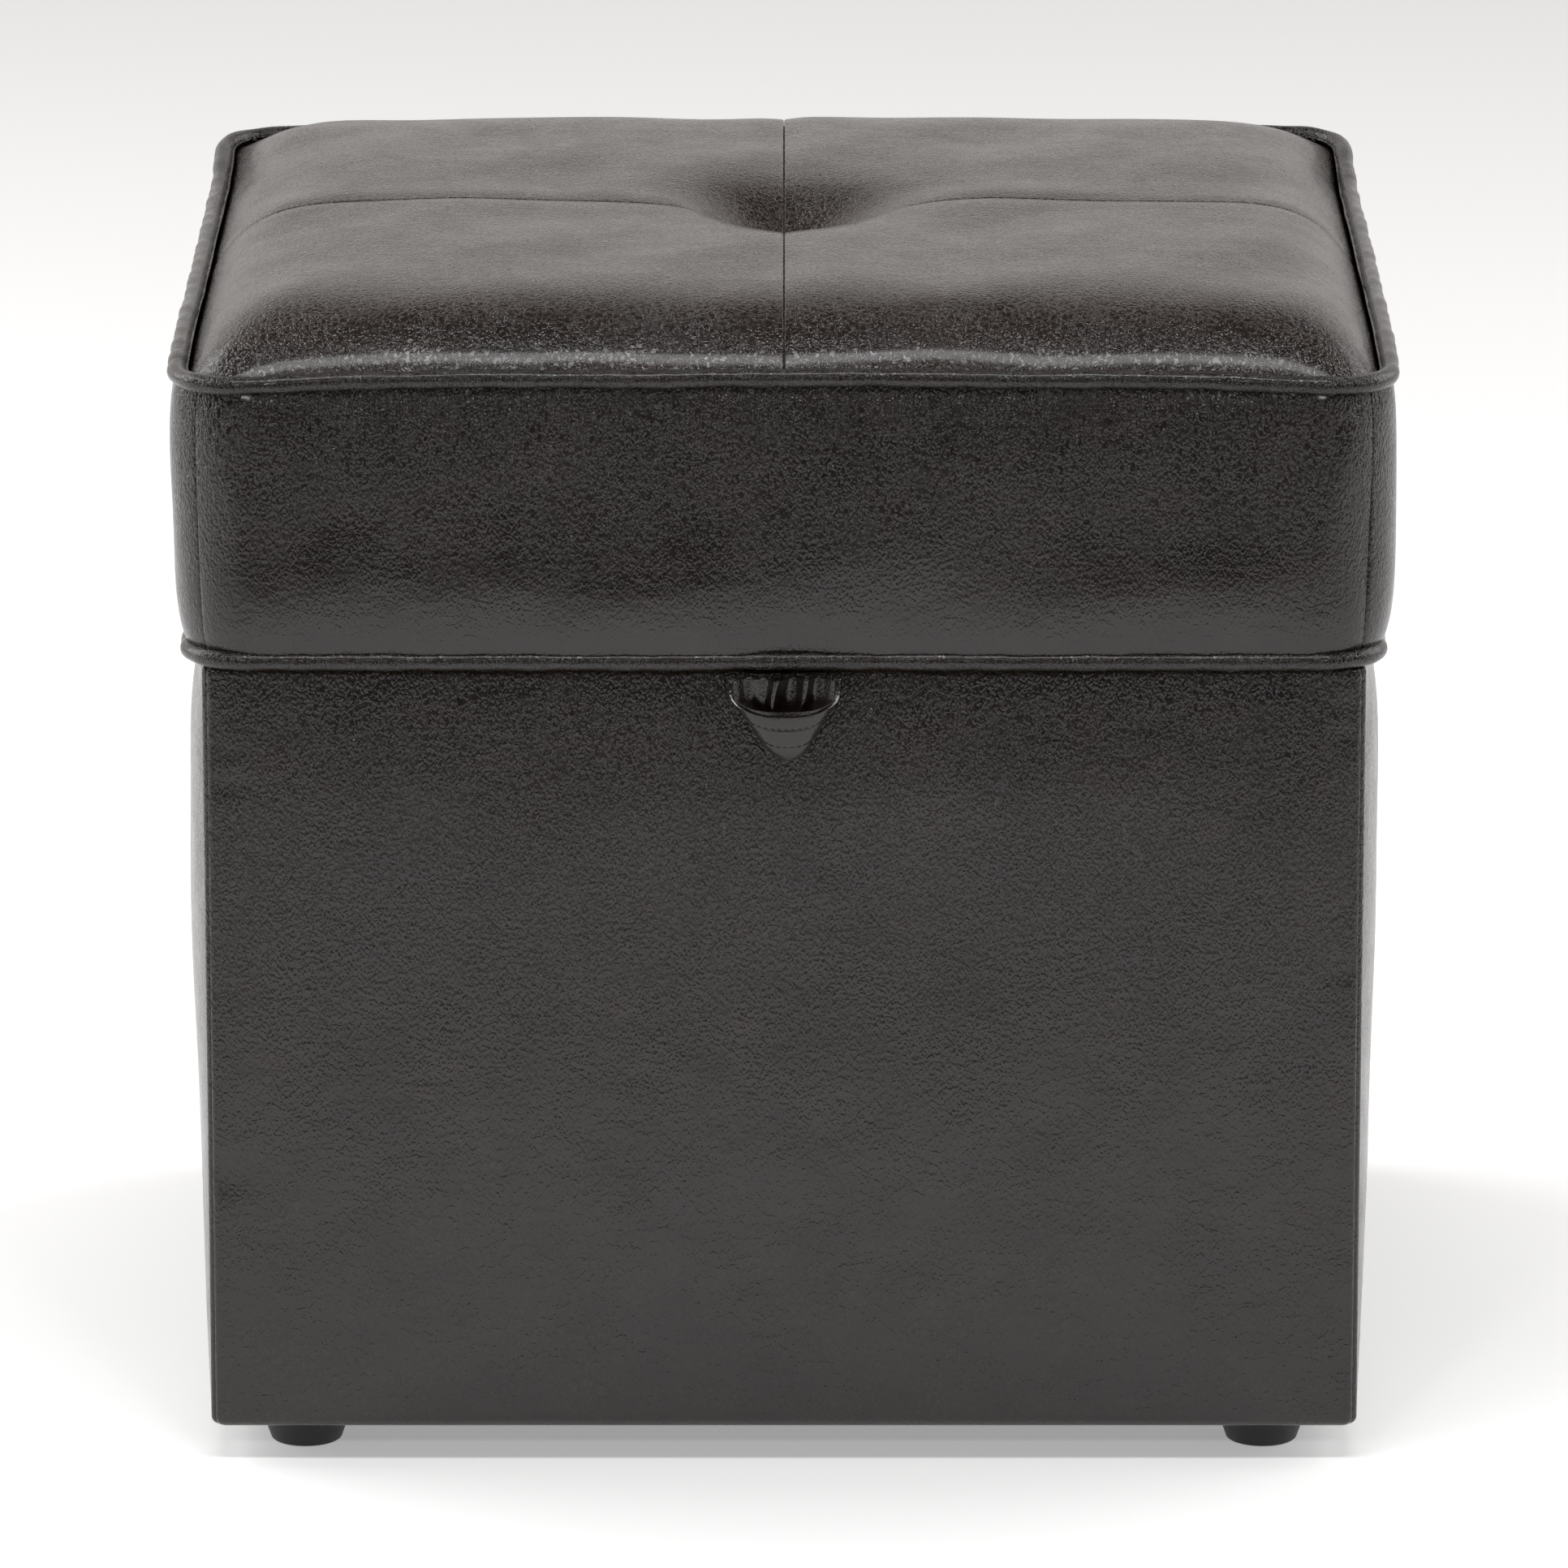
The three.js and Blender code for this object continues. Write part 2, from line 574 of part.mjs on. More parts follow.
function lidBoard() {
  const board = roundedPlate(
    LID_BOARD_HALF_X, LID_BOARD_HALF_Y, LID_BOARD_CORNER, LID_BOARD_BOTTOM, LID_BOARD_TOP,
  );
  const half = HINGE_HALF_WIDTH + 2 * GAP;
  const screwTop = LID_LEAF_BOTTOM + HINGE_SCREW_LENGTH + 1;
  const knuckleRoom = hingeXs.map((x) => block(
    [x - half, x + half],
    [HINGE_AXIS_Y - KNUCKLE_R - GAP, LID_BOARD_HALF_Y + 5],
    [LID_BOARD_BOTTOM - 1, HINGE_AXIS_Z + KNUCKLE_R + GAP],
  ));
  const screwHoles = hingeXs.flatMap((x) => [-1, 1].map((s) => (
    hole(x + s * HINGE_SCREW_X, HINGE_SCREW_Y, LEAF_HOLE_R, LID_BOARD_BOTTOM - 1, screwTop)
  )));
  const cordHole = hole(0, 0, CORD_HOLE_R, LID_BOARD_BOTTOM - 1, LID_BOARD_TOP + 1);
  const pocket = hole(0, 0, WASHER_POCKET_R, LID_BOARD_BOTTOM - 1, LID_BOARD_BOTTOM + WASHER_POCKET, 20);
  return cut(board, ...knuckleRoom, ...screwHoles, cordHole, pocket);
}

function lidFoam() {
  const z0 = LID_BOARD_TOP + GAP;
  const sheet = (top) => (s, t) => {
    const [x, y] = roundedPlan(crowdBoth(s), crowdBoth(t), FOAM_HALF_X, FOAM_HALF_Y, FOAM_CORNER);
    return [x, y, top ? seatHeight(x, y) - FOAM_BELOW_TOP : z0];
  };
  const foam = slab(16, 16, sheet(true), sheet(false), true);
  return cut(foam, hole(0, 0, CORD_HOLE_R, z0 - 1, TOP_EDGE_Z + CROWN));
}

// One quadrant of the seat cover, from the cross seams out to the piping.
function topPanel(sx, sy) {
  const seam = 0.4;
  const spread = (s, half) => {
    const inner = seam / half;
    return inner + (1 - inner) * Math.sin((s * Math.PI) / 2);
  };
  const sheet = (drop) => (s, t) => {
    const [x, y] = roundedPlan(
      sx * spread(s, TOP_HALF_X), sy * spread(t, TOP_HALF_Y), TOP_HALF_X, TOP_HALF_Y, TOP_CORNER,
    );
    return [x, y, seatHeight(x, y) - drop];
  };
  return slab(8, 8, sheet(0), sheet(LEATHER));
}

function lidBand(side) {
  const z0 = LOWER_PIPING.z + LOWER_PIPING.radius + GAP;
  const z1 = UPPER_PIPING.z - UPPER_PIPING.radius - GAP;
  const sheet = (depth) => (s, t) => {
    const halfX = THREE.MathUtils.lerp(BAND_BOTTOM_HALF_X, BAND_TOP_HALF_X, t);
    const halfY = THREE.MathUtils.lerp(BAND_BOTTOM_HALF_Y, BAND_TOP_HALF_Y, t);
    const { point, out } = roundedSide(side, 2 * s - 1, halfX, halfY, UPPER_PIPING.corner);
    const bulge = BAND_BULGE * Math.sin(Math.PI * t) ** 0.7 * (1 - (2 * s - 1) ** 8 * 0.6);
    const reach = bulge - depth;
    return [point[0] + out[0] * reach, point[1] + out[1] * reach, THREE.MathUtils.lerp(z0, z1, t)];
  };
  return slab(12, 4, sheet(0), sheet(LEATHER));
}

function piping({ halfX, halfY, z, radius, corner }) {
  return closedTube(roundedLoop(halfX, halfY, corner, 6), z, radius);
}

function lidLining() {
  const plate = roundedPlate(
    LID_BOARD_HALF_X - LINING_INSET, LID_BOARD_HALF_Y - LINING_INSET, LID_BOARD_CORNER - LINING_INSET,
    LINING_BOTTOM, LINING_BOTTOM + FABRIC,
  );
  const z = [LINING_BOTTOM - 1, LINING_BOTTOM + FABRIC + 1];
  const half = HINGE_HALF_WIDTH + 2 * GAP;
  const leaves = hingeXs.map((x) => (
    block([x - half, x + half], [HINGE_AXIS_Y - LEAF_LENGTH - 2 * GAP, LID_BOARD_HALF_Y], z)
  ));
  const anchorHalf = ANCHOR_HALF_WIDTH + GAP;
  const anchorEnd = TAB_AXIS_Y + 5 + ANCHOR_LENGTH + GAP;
  const anchor = block([-anchorHalf, anchorHalf], [-LID_BOARD_HALF_Y, anchorEnd], z);
  return cut(plate, ...leaves, anchor);
}

function tuftWasher() {
  const z1 = LID_BOARD_BOTTOM + WASHER_POCKET - GAP;
  return turned([
    [CORD_HOLE_R, z1 - WASHER], [WASHER_R, z1 - WASHER], [WASHER_R, z1], [CORD_HOLE_R, z1],
  ], 0, 0, 20);
}

// The cord runs from a knot under the washer up to the middle of the seat cover.
function tuftCord() {
  const knotTop = LID_BOARD_BOTTOM + WASHER_POCKET - GAP - WASHER - GAP;
  const top = seatHeight(0, 0) - LEATHER - GAP;
  return turned([
    [0, knotTop - 2], [CORD_HOLE_R + 1, knotTop - 1.4], [CORD_HOLE_R + 1, knotTop],
    [CORD_R, knotTop], [CORD_R, top], [0, top],
  ], 0, 0, 10);
}

// ---- pull tab -----------------------------------------------------------------------------

function pullTabAnchor() {
  const y0 = TAB_AXIS_Y + 5;
  const z0 = LID_BOARD_BOTTOM - GAP - LEATHER;
  return block([-ANCHOR_HALF_WIDTH, ANCHOR_HALF_WIDTH], [y0, y0 + ANCHOR_LENGTH], [z0, z0 + LEATHER]);
}

// A tulip-shaped loop, wide under the piping and drawn in to a rounded tip.
function pullTab() {
  const sheet = (front) => (s, t) => {
    const u = crowdBoth(s);
    const half = TAB_HALF_WIDTH * (1 - 0.82 * t ** 1.5);
    const round = Math.sqrt(Math.max(1 - u * u, 0.01));
    const fullness = (0.72 + 0.28 * Math.sin(Math.PI * t ** 0.6)) * (1 - 0.5 * t ** 2);
    const y = front ? TAB_BACK_Y - 1 - TAB_DEPTH * round * fullness : TAB_BACK_Y;
    return [u * half, y, THREE.MathUtils.lerp(TAB_TOP_Z, TAB_TIP_Z + 2.5 * u * u, t)];
  };
  return slab(8, 6, sheet(true), sheet(false));
}

// ---- assembly -----------------------------------------------------------------------------

const ottoman = new THREE.Group();

function add(parent, name, geometry, look) {
  const mesh = new THREE.Mesh(geometry, FINISH[look]());
  mesh.name = name;
  parent.add(mesh);
}

const base = new THREE.Group();
add(base, 'front_board', longBoard(true), 'wood');
add(base, 'back_board', backBoard(), 'wood');
add(base, 'left_board', sideBoard(true), 'wood');
add(base, 'right_board', sideBoard(false), 'wood');
add(base, 'floor_board', floorBoard(), 'wood');
add(base, 'storage_liner', storageLiner(), 'liner');
add(base, 'dust_cover', dustCover(), 'liner');
for (const [corner, at] of Object.entries(feetAt)) {
  add(base, `corner_post_${corner}`, cornerPost(at), 'wood');
  add(base, `foot_${corner}`, foot(at), 'plastic');
  add(base, `foot_screw_${corner}`, footScrew(at), 'steel');
}
for (const side of Object.keys(SIDES)) {
  add(base, `base_foam_${side}`, baseFoam(side), 'foam');
  add(base, `base_cover_${side}`, baseCover(side), 'leather');
}

const lid = new THREE.Group();
add(lid, 'lid_board', lidBoard(), 'wood');
add(lid, 'seat_foam', lidFoam(), 'foam');
add(lid, 'lid_lining', lidLining(), 'liner');
add(lid, 'tuft_washer', tuftWasher(), 'plastic');
add(lid, 'tuft_cord', tuftCord(), 'cord');
add(lid, 'lower_piping', piping(LOWER_PIPING), 'piping');
add(lid, 'upper_piping', piping(UPPER_PIPING), 'piping');
for (const side of Object.keys(SIDES)) {
  add(lid, `lid_band_${side}`, lidBand(side), 'leather');
}
for (const [corner, [fx, fy]] of Object.entries(feetAt)) {
  add(lid, `seat_panel_${corner}`, topPanel(Math.sign(fx), Math.sign(fy)), 'leather');
}
add(lid, 'pull_tab_anchor', pullTabAnchor(), 'leather');

hingeXs.forEach((x, k) => {
  const hand = ['left', 'right'][k];
  add(base, `hinge_base_leaf_${hand}`, hingeLeaf(x, BASE_LEAF_BOTTOM, false), 'steel');
  add(base, `hinge_pin_${hand}`, hingePin(x), 'steel');
  add(lid, `hinge_lid_leaf_${hand}`, hingeLeaf(x, LID_LEAF_BOTTOM, true), 'steel');
  [-1, 1].forEach((s, n) => {
    const screwX = x + s * HINGE_SCREW_X;
    add(base, `hinge_base_screw_${hand}_${n + 1}`, hingeScrew(screwX, BASE_LEAF_BOTTOM, -1), 'steel');
    add(lid, `hinge_lid_screw_${hand}_${n + 1}`, hingeScrew(screwX, LID_LEAF_BOTTOM, 1), 'steel');
  });
});

add(ottoman, 'pull_tab', pullTab(), 'leather');
ottoman.add(base, lid);

export default ottoman;
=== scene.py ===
"""Looks of a padded storage ottoman with a hinged lid: glossy dark brown coated leather over
foam, piped edges, a four-panel tufted seat, a leather pull tab and black moulded feet.

Everything is in metres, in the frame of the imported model: +X right, -Y front, +Z up."""

import functools
import math

import bpy
import numpy as np
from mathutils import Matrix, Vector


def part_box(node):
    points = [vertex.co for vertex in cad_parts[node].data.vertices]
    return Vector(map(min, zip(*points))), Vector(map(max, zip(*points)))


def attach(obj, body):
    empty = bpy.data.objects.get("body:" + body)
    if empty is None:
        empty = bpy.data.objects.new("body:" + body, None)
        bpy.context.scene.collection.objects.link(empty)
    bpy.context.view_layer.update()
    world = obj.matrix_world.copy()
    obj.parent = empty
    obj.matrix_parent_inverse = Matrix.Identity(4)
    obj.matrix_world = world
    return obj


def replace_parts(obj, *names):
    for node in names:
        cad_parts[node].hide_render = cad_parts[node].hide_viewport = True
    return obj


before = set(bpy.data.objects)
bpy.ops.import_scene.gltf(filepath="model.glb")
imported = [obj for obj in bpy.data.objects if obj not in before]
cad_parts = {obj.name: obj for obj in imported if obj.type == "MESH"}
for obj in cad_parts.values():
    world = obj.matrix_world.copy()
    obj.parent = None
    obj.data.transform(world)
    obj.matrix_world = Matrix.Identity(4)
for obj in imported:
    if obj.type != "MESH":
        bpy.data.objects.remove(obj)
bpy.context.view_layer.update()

MM = 0.001
SEED = 41

# ---- sizes: the outer ones come from the frame's nodes, the rest are chosen details ----


@functools.cache
def low(node):
    """The corner of a CAD node's box with the lowest coordinates."""
    return np.array(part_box(node)[0], float)


@functools.cache
def high(node):
    return np.array(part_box(node)[1], float)


LEATHER = 1.0 * MM
FABRIC = 0.7 * MM
WALL_X = high("right_board")[0]  # outer faces of the wooden box
WALL_Y = high("back_board")[1]
SEAM_X = WALL_X + 3.0 * MM  # corner seams of the cover of the box
SEAM_Y = WALL_Y + 2.5 * MM
RIM_TOP = high("base_cover_front")[2]
HEM_BOTTOM = low("base_cover_front")[2]
RIM_REACH = 14.4 * MM  # how far the cover is folded in over the rim
HEM_REACH = 22.0 * MM  # and in under the box
SIDE_BULGE = 10.5 * MM
FRONT_BULGE = 4.0 * MM
BASE_LIP = 1.2 * MM  # radius of the panel edges where they're sewn
BASE_REACH = BASE_LIP * (1 + math.sqrt(2))  # from a corner seam to where the face begins
PIPING_REST_Z = 305 * MM  # where the lower piping rests when the lid is open
PIPING_REST_HALF = 9 * MM  # half width of the hollow that it lies in


def piping_centre(node, radius, proud):
    """Half width, half depth and height of the middle of a piping that stands proud of its node."""
    x, y, top = high(node)
    return x - radius + proud, y - radius + proud, (low(node)[2] + top) / 2


LOWER_R = 3.4 * MM
UPPER_R = 3.5 * MM
LOWER_X, LOWER_Y, LOWER_Z = piping_centre("lower_piping", LOWER_R, 0.26 * MM)
UPPER_X, UPPER_Y, UPPER_Z = piping_centre("upper_piping", UPPER_R, 0.27 * MM)
LOWER_CORNER = 23 * MM  # corner radii of the pipings in plan
UPPER_CORNER = 27 * MM
BAND_TUCK = 3.0 * MM  # how far the band goes in behind the piping
BAND_BULGE = 4.8 * MM
BAND_FOOT_OUT = 0.5 * MM  # its foot is outside the middle of the lower piping
BAND_TOP_IN = 1.0 * MM  # and its top inside the middle of the upper one
BAND_GAP = 0.16 * MM  # half the gap between two bands at a corner seam

SEAT_X = UPPER_X - 4.6 * MM
SEAT_Y = UPPER_Y - 4.6 * MM
SEAT_CORNER = 22 * MM
SEAT_EDGE_Z = UPPER_Z - 1.5 * MM
CROWN = high("seat_panel_fl")[2] - SEAT_EDGE_Z
ROLL = 16 * MM  # how fast the seat rises from its edges
SAG_REACH = 14 * MM  # how far in the seat follows the sag of the piping
OVER_CORD = 1.9 * MM  # the tuft ends this far above the cord
TUFT_DEPTH = high("seat_panel_fl")[2] - high("tuft_cord")[2] - OVER_CORD
TUFT_X = 27 * MM  # half width and half length of the pit
TUFT_Y = 33 * MM
TUFT_BOWL = 62 * MM  # radius of the shallow bowl round it
BOWL_SHARE = 0.16  # and its share of the depth
TUFT_SKEW = 3 * MM  # the pit is wider to the right
TUFT_SPREAD = 0.35  # and wider towards the back, by this share
TUFT_STEEP = 1.15  # above 1 the sides of the pit are steeper
CORNER_SAG = 3.0 * MM  # the upper piping dips at the front corners
BACK_RISE = 9.0 * MM  # and climbs towards the back
FOAM_UNDER = 2.4 * MM  # depth of the seat foam under the surface of the cover

TAB_LOW = low("pull_tab")
TAB_HIGH = high("pull_tab")

SIDES = {
    "front": ((0, -1), (1, 0)),
    "back": ((0, 1), (-1, 0)),
    "left": ((-1, 0), (0, -1)),
    "right": ((1, 0), (0, 1)),
}
QUADRANTS = {"fl": (-1, -1), "fr": (1, -1), "bl": (-1, 1), "br": (1, 1)}


def across_and_out(side, x, y):
    """A size along a side and the one square to it, from the sizes along x and y."""
    return (x, y) if side in ("front", "back") else (y, x)


# ---- meshes ----


def make_object(name, points, faces, material, body, smooth=True):
    mesh = bpy.data.meshes.new(name)
    mesh.from_pydata([tuple(map(float, p)) for p in points], [], faces)
    mesh.update()
    mesh.shade_smooth() if smooth else mesh.shade_flat()
    mesh.materials.append(material)
    piece = bpy.data.objects.new(name, mesh)
    bpy.context.collection.objects.link(piece)
    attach(piece, body)
    return piece


def grid_object(name, points, material, body, ring=False, flip=False):
    faces = grid_faces(*points.shape[:2], ring, flip)
    return make_object(name, points.reshape(-1, 3), faces, material, body)


def grid_faces(rows, columns, ring=False, flip=False):
    """Quads of a grid of points, row by row; ring joins the last column to the first."""
    faces = []
    for r in range(rows - 1):
        for c in range(columns if ring else columns - 1):
            d = (c + 1) % columns
            quad = (r * columns + c, r * columns + d, (r + 1) * columns + d, (r + 1) * columns + c)
            faces.append(quad[::-1] if flip else quad)
    return faces


def stand_in(piece, node):
    """Hides the CAD node whose place a padded piece takes."""
    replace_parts(piece, node)


def thicken(piece, thickness, offset=-1.0):
    shell = piece.modifiers.new("thickness", "SOLIDIFY")
    shell.thickness = thickness
    shell.offset = offset
    shell.use_even_offset = False


def graded(length, first, last, coarse, growth=0.2):
    """Positions from 0 to length whose steps grow from `first`, up to `coarse`, down to `last`."""
    at = [0.0]
    while at[-1] < length:
        here = at[-1]
        step = min(coarse, first + growth * here, last + growth * max(length - here, 0))
        at.append(here + max(step, min(first, last)))
    return np.array(at) * (length / at[-1])


def lip(radius, turn, reach):
    """A sewn edge that curls inwards: distances from the seam line and depths, seam first."""
    angle = np.linspace(turn, 0, 8)
    return reach - radius * np.sin(angle), radius * (1 - np.cos(angle))


SEAM_ALLOWANCE = 1.6 * MM


def sewn_edge(radius, gap):
    """A panel edge that turns straight down beside its neighbour, with a short seam allowance."""
    p, q = lip(radius, math.pi / 2, radius)
    return np.concatenate([[p[0]], p]) + gap, np.concatenate([[q[0] + SEAM_ALLOWANCE], q])


def run_along(points):
    """Distances along a run of points, from its start."""
    return np.concatenate([[0], np.cumsum(np.linalg.norm(np.diff(points, axis=0), axis=1))])


def places_at(at, run, values):
    """Rows of `values`, which belong to the distances `run`, read at the distances `at`."""
    return np.stack([np.interp(at, run, values[:, k]) for k in range(values.shape[1])], 1)


def snap(lines, values):
    """Moves the nearest grid line onto each value."""
    for value in values:
        lines[np.argmin(np.abs(lines - value))] = value


def only_used(points, faces):
    """The points that faces use, and the faces with their new numbers."""
    used = np.unique(np.array(faces))
    order = {old: new for new, old in enumerate(used.tolist())}
    return points[used], [tuple(order[i] for i in face) for face in faces]


def moved_faces(faces, first):
    return [tuple(first + i for i in face) for face in faces]


class Ripples:
    """Gentle unevenness of leather over foam: a few long waves with seeded directions."""

    def __init__(self, seed, height, shortest, longest, count=9):
        draw = np.random.default_rng(seed)
        length = draw.uniform(shortest, longest, count)
        angle = draw.uniform(0, math.pi, count)
        self.kx = 2 * math.pi / length * np.cos(angle)
        self.ky = 2 * math.pi / length * np.sin(angle)
        self.phase = draw.uniform(0, 2 * math.pi, count)
        self.height = height * math.sqrt(2 / count)

    def at(self, x, y):
        x, y = np.asarray(x)[..., None], np.asarray(y)[..., None]
        return self.height * np.sin(x * self.kx + y * self.ky + self.phase).sum(-1)


# ---- plan outlines ----


def rounded_loop(half_x, half_y, corner, count):
    """A rounded rectangle as `count` evenly spaced plan points with outward directions."""
    turn = np.linspace(0, math.pi / 2, 60)
    points, outward = [], []
    for quarter, (sx, sy) in enumerate(((1, 1), (-1, 1), (-1, -1), (1, -1))):
        angle = turn + quarter * math.pi / 2
        out = np.stack([np.cos(angle), np.sin(angle)], 1)
        centre = np.array([sx * (half_x - corner), sy * (half_y - corner)])
        points.append(centre + corner * out)
        outward.append(out)
    points, outward = (np.concatenate(rows + [rows[0][:1]]) for rows in (points, outward))
    run = run_along(points)
    at = np.arange(count) * run[-1] / count
    out = places_at(at, run, outward)
    return places_at(at, run, points), out / np.linalg.norm(out, axis=1)[:, None], at, run[-1]


def corner_sag(x, y):
    """How far the upper edge dips near the front corners; at the back it's pulled up instead."""
    far = np.hypot(np.abs(x) - (UPPER_X - 8 * MM), y + (UPPER_Y - 8 * MM))
    dip = CORNER_SAG * np.exp(-((far / (48 * MM)) ** 2))
    back = np.clip((y - 0.62 * UPPER_Y) / (0.36 * UPPER_Y), 0, 1)
    return dip - BACK_RISE * back * back * (3 - 2 * back)


def squeeze(x, y, half_x, half_y, corner):
    """Moves the corners of a rectangle in, so that its outline becomes rounded."""
    a = np.clip(np.abs(x) - (half_x - corner), 0, corner) / corner
    b = np.clip(np.abs(y) - (half_y - corner), 0, corner) / corner
    both = (a > 0) & (b > 0)
    rx = np.where(both, half_x - corner + corner * a * np.sqrt(1 - b * b / 2), np.abs(x))
    ry = np.where(both, half_y - corner + corner * b * np.sqrt(1 - a * a / 2), np.abs(y))
    return np.sign(x) * rx, np.sign(y) * ry


# ---- cover of the box ----


def base_bulge(side, u, w):
    """How far a panel is pushed out by its foam; u is -1..1 across it and w is 0..1 up it."""
    full, _ = across_and_out(side, FRONT_BULGE, SIDE_BULGE)
    w = np.clip(w, 0, 1)
    return full * (1 - np.abs(u) ** 6) * w ** 0.4 * (1 - 0.85 * w ** 16)


def base_profile():
    """Down the wrapped cover: how far in it is, its height, and how much of it is face."""
    arc = np.linspace(0, math.pi / 2, 6)[1:-1]
    top, bottom = 2.0 * MM, 2.6 * MM  # radii of the turned edges
    rim = [(d, RIM_TOP, 0.0) for d in np.linspace(RIM_REACH, top, 6)]
    rim += [(top * (1 - math.sin(a)), RIM_TOP - top * (1 - math.cos(a)), 0.0) for a in arc]
    height = RIM_TOP - top - HEM_BOTTOM - bottom
    down = graded(height, 1.2 * MM, 1.6 * MM, 3.2 * MM, 0.12)
    face = [(0.0, RIM_TOP - top - d, 1.0) for d in down]
    hem = [(bottom * (1 - math.cos(a)), HEM_BOTTOM + bottom * (1 - math.sin(a)), 0.0) for a in arc]
    hem += [(d, HEM_BOTTOM, 0.0) for d in np.linspace(bottom, HEM_REACH, 7)]
    return np.array(rim + face + hem)


def cover_columns(side, half):
    """Places across a panel between its sewn edges, with lines at the hinge notches of the back."""
    inner = half - BASE_REACH - graded(half - BASE_REACH, 0.9 * MM, 2.5 * MM, 3.4 * MM, 0.1)[::-1]
    across = np.unique(np.round(np.concatenate([-inner, inner]), 7))
    if side == "back":
        snap(across, [-edge for name in HINGES for edge in hinge_span(name)])
    return across


def cover_swell(side, half, u, z):
    """How far the face of a panel stands out from its plane, by height and place across."""
    U, W = np.meshgrid(u, (z - HEM_BOTTOM) / (RIM_TOP - HEM_BOTTOM))
    waves = Ripples(SEED + list(SIDES).index(side), 0.32 * MM, 70 * MM, 190 * MM)
    calm = (1 - np.abs(U) ** 8) * np.sin(math.pi * np.clip(W, 0, 1)) ** 0.5
    swell = base_bulge(side, U, W) + calm * waves.at(U * half, W * 0.3)
    return swell + base_puckers(side, U * half, W, half)


def base_cover(side, material):
    out, along = (np.array(v, float) for v in SIDES[side])
    half, plane = across_and_out(side, SEAM_X, SEAM_Y)
    inset, z, face = base_profile().T
    inset = inset[:, None]
    u = cover_columns(side, half) / (half - BASE_REACH)
    swell = cover_swell(side, half, u, z) * face[:, None]
    if side == "back":
        swell *= 1 - 0.9 * np.exp(-((z - PIPING_REST_Z) / PIPING_REST_HALF) ** 2)[:, None]
    body = np.stack([u * (half - BASE_REACH - inset), -inset + swell], -1)
    p, q = lip(BASE_LIP, 3 * math.pi / 4, BASE_REACH)
    start = np.stack([-(half - p) + inset, -q - inset], -1)
    end = start[:, ::-1] * np.array([-1, 1])
    shape = np.concatenate([start[:, :-1], body, end[:, 1:]], 1)
    plan = (plane + shape[..., 1:2]) * out + shape[..., 0:1] * along
    heights = np.broadcast_to(z[:, None, None], plan.shape[:2] + (1,))
    flat = np.concatenate([plan, heights], -1).reshape(-1, 3)
    faces = grid_faces(*plan.shape[:2])
    if side == "back":
        flat, faces = only_used(flat, [f for f in faces if not in_hinge_notch(flat[list(f)].mean(0))])
    piece = make_object(f"base_cover_{side}_leather", flat, faces, material, "base")
    thicken(piece, LEATHER)
    stand_in(piece, f"base_cover_{side}")


def base_puckers(side, x, w, half):
    """Small gathers where the panel is pulled into the corner seams."""
    draw = np.random.default_rng(SEED + 50 + list(SIDES).index(side))
    total = np.zeros_like(x)
    for end in (-1, 1):
        for _ in range(9):
            at, size = draw.uniform(0.08, 0.95), draw.uniform(0.008, 0.018)
            deep = draw.uniform(0.10, 0.35) * MM
            run = np.exp(-((half - end * x) / (14 * MM)) ** 2)
            total -= deep * run * np.exp(-(((w - at) / size) ** 2))
    return total


HINGES = ("left", "right")
HINGE_ROOM = 0.6 * MM
NOTCH_DEPTH = 4.5 * MM


def hinge_span(name):
    node = f"hinge_base_leaf_{name}"
    return low(node)[0] - HINGE_ROOM, high(node)[0] + HINGE_ROOM


def in_hinge_notch(point):
    _, front, bottom = low("hinge_base_leaf_left")
    inside = any(a < point[0] < b for a, b in map(hinge_span, HINGES))
    notch_bottom = min(bottom - 1.0 * MM, RIM_TOP - NOTCH_DEPTH)
    return inside and point[2] > notch_bottom and point[1] > front - 2 * MM


# ---- lid band ----


def side_path(side, half_x, half_y, corner, s):
    """Plan points, outward directions and directions along one side; s is -1..1 across it."""
    out, along = (np.array(v, float) for v in SIDES[side])
    half, plane = across_and_out(side, half_x, half_y)
    straight = half - corner
    total = straight + corner * math.pi / 4
    run = np.abs(s) * total
    turn = np.clip(run - straight, 0, None) / corner
    across = np.sign(s) * (np.minimum(run, straight) + corner * np.sin(turn))
    reach = plane - corner * (1 - np.cos(turn))
    point = reach[..., None] * out + across[..., None] * along
    onwards, round_corner = np.cos(turn)[..., None], (np.sign(s) * np.sin(turn))[..., None]
    return point, onwards * out + round_corner * along, onwards * along - round_corner * out


BAND_LIP = 0.9 * MM
BAND_ROWS = 64


def band_columns(side):
    half, _ = across_and_out(side, UPPER_X, UPPER_Y)
    total = half - UPPER_CORNER + UPPER_CORNER * math.pi / 4
    half_columns = graded(total - BAND_LIP, 0.7 * MM, 2.2 * MM, 3.0 * MM, 0.1)
    from_middle = (total - BAND_LIP - half_columns)[::-1]
    return np.concatenate([-from_middle[::-1], from_middle[1:]]), total


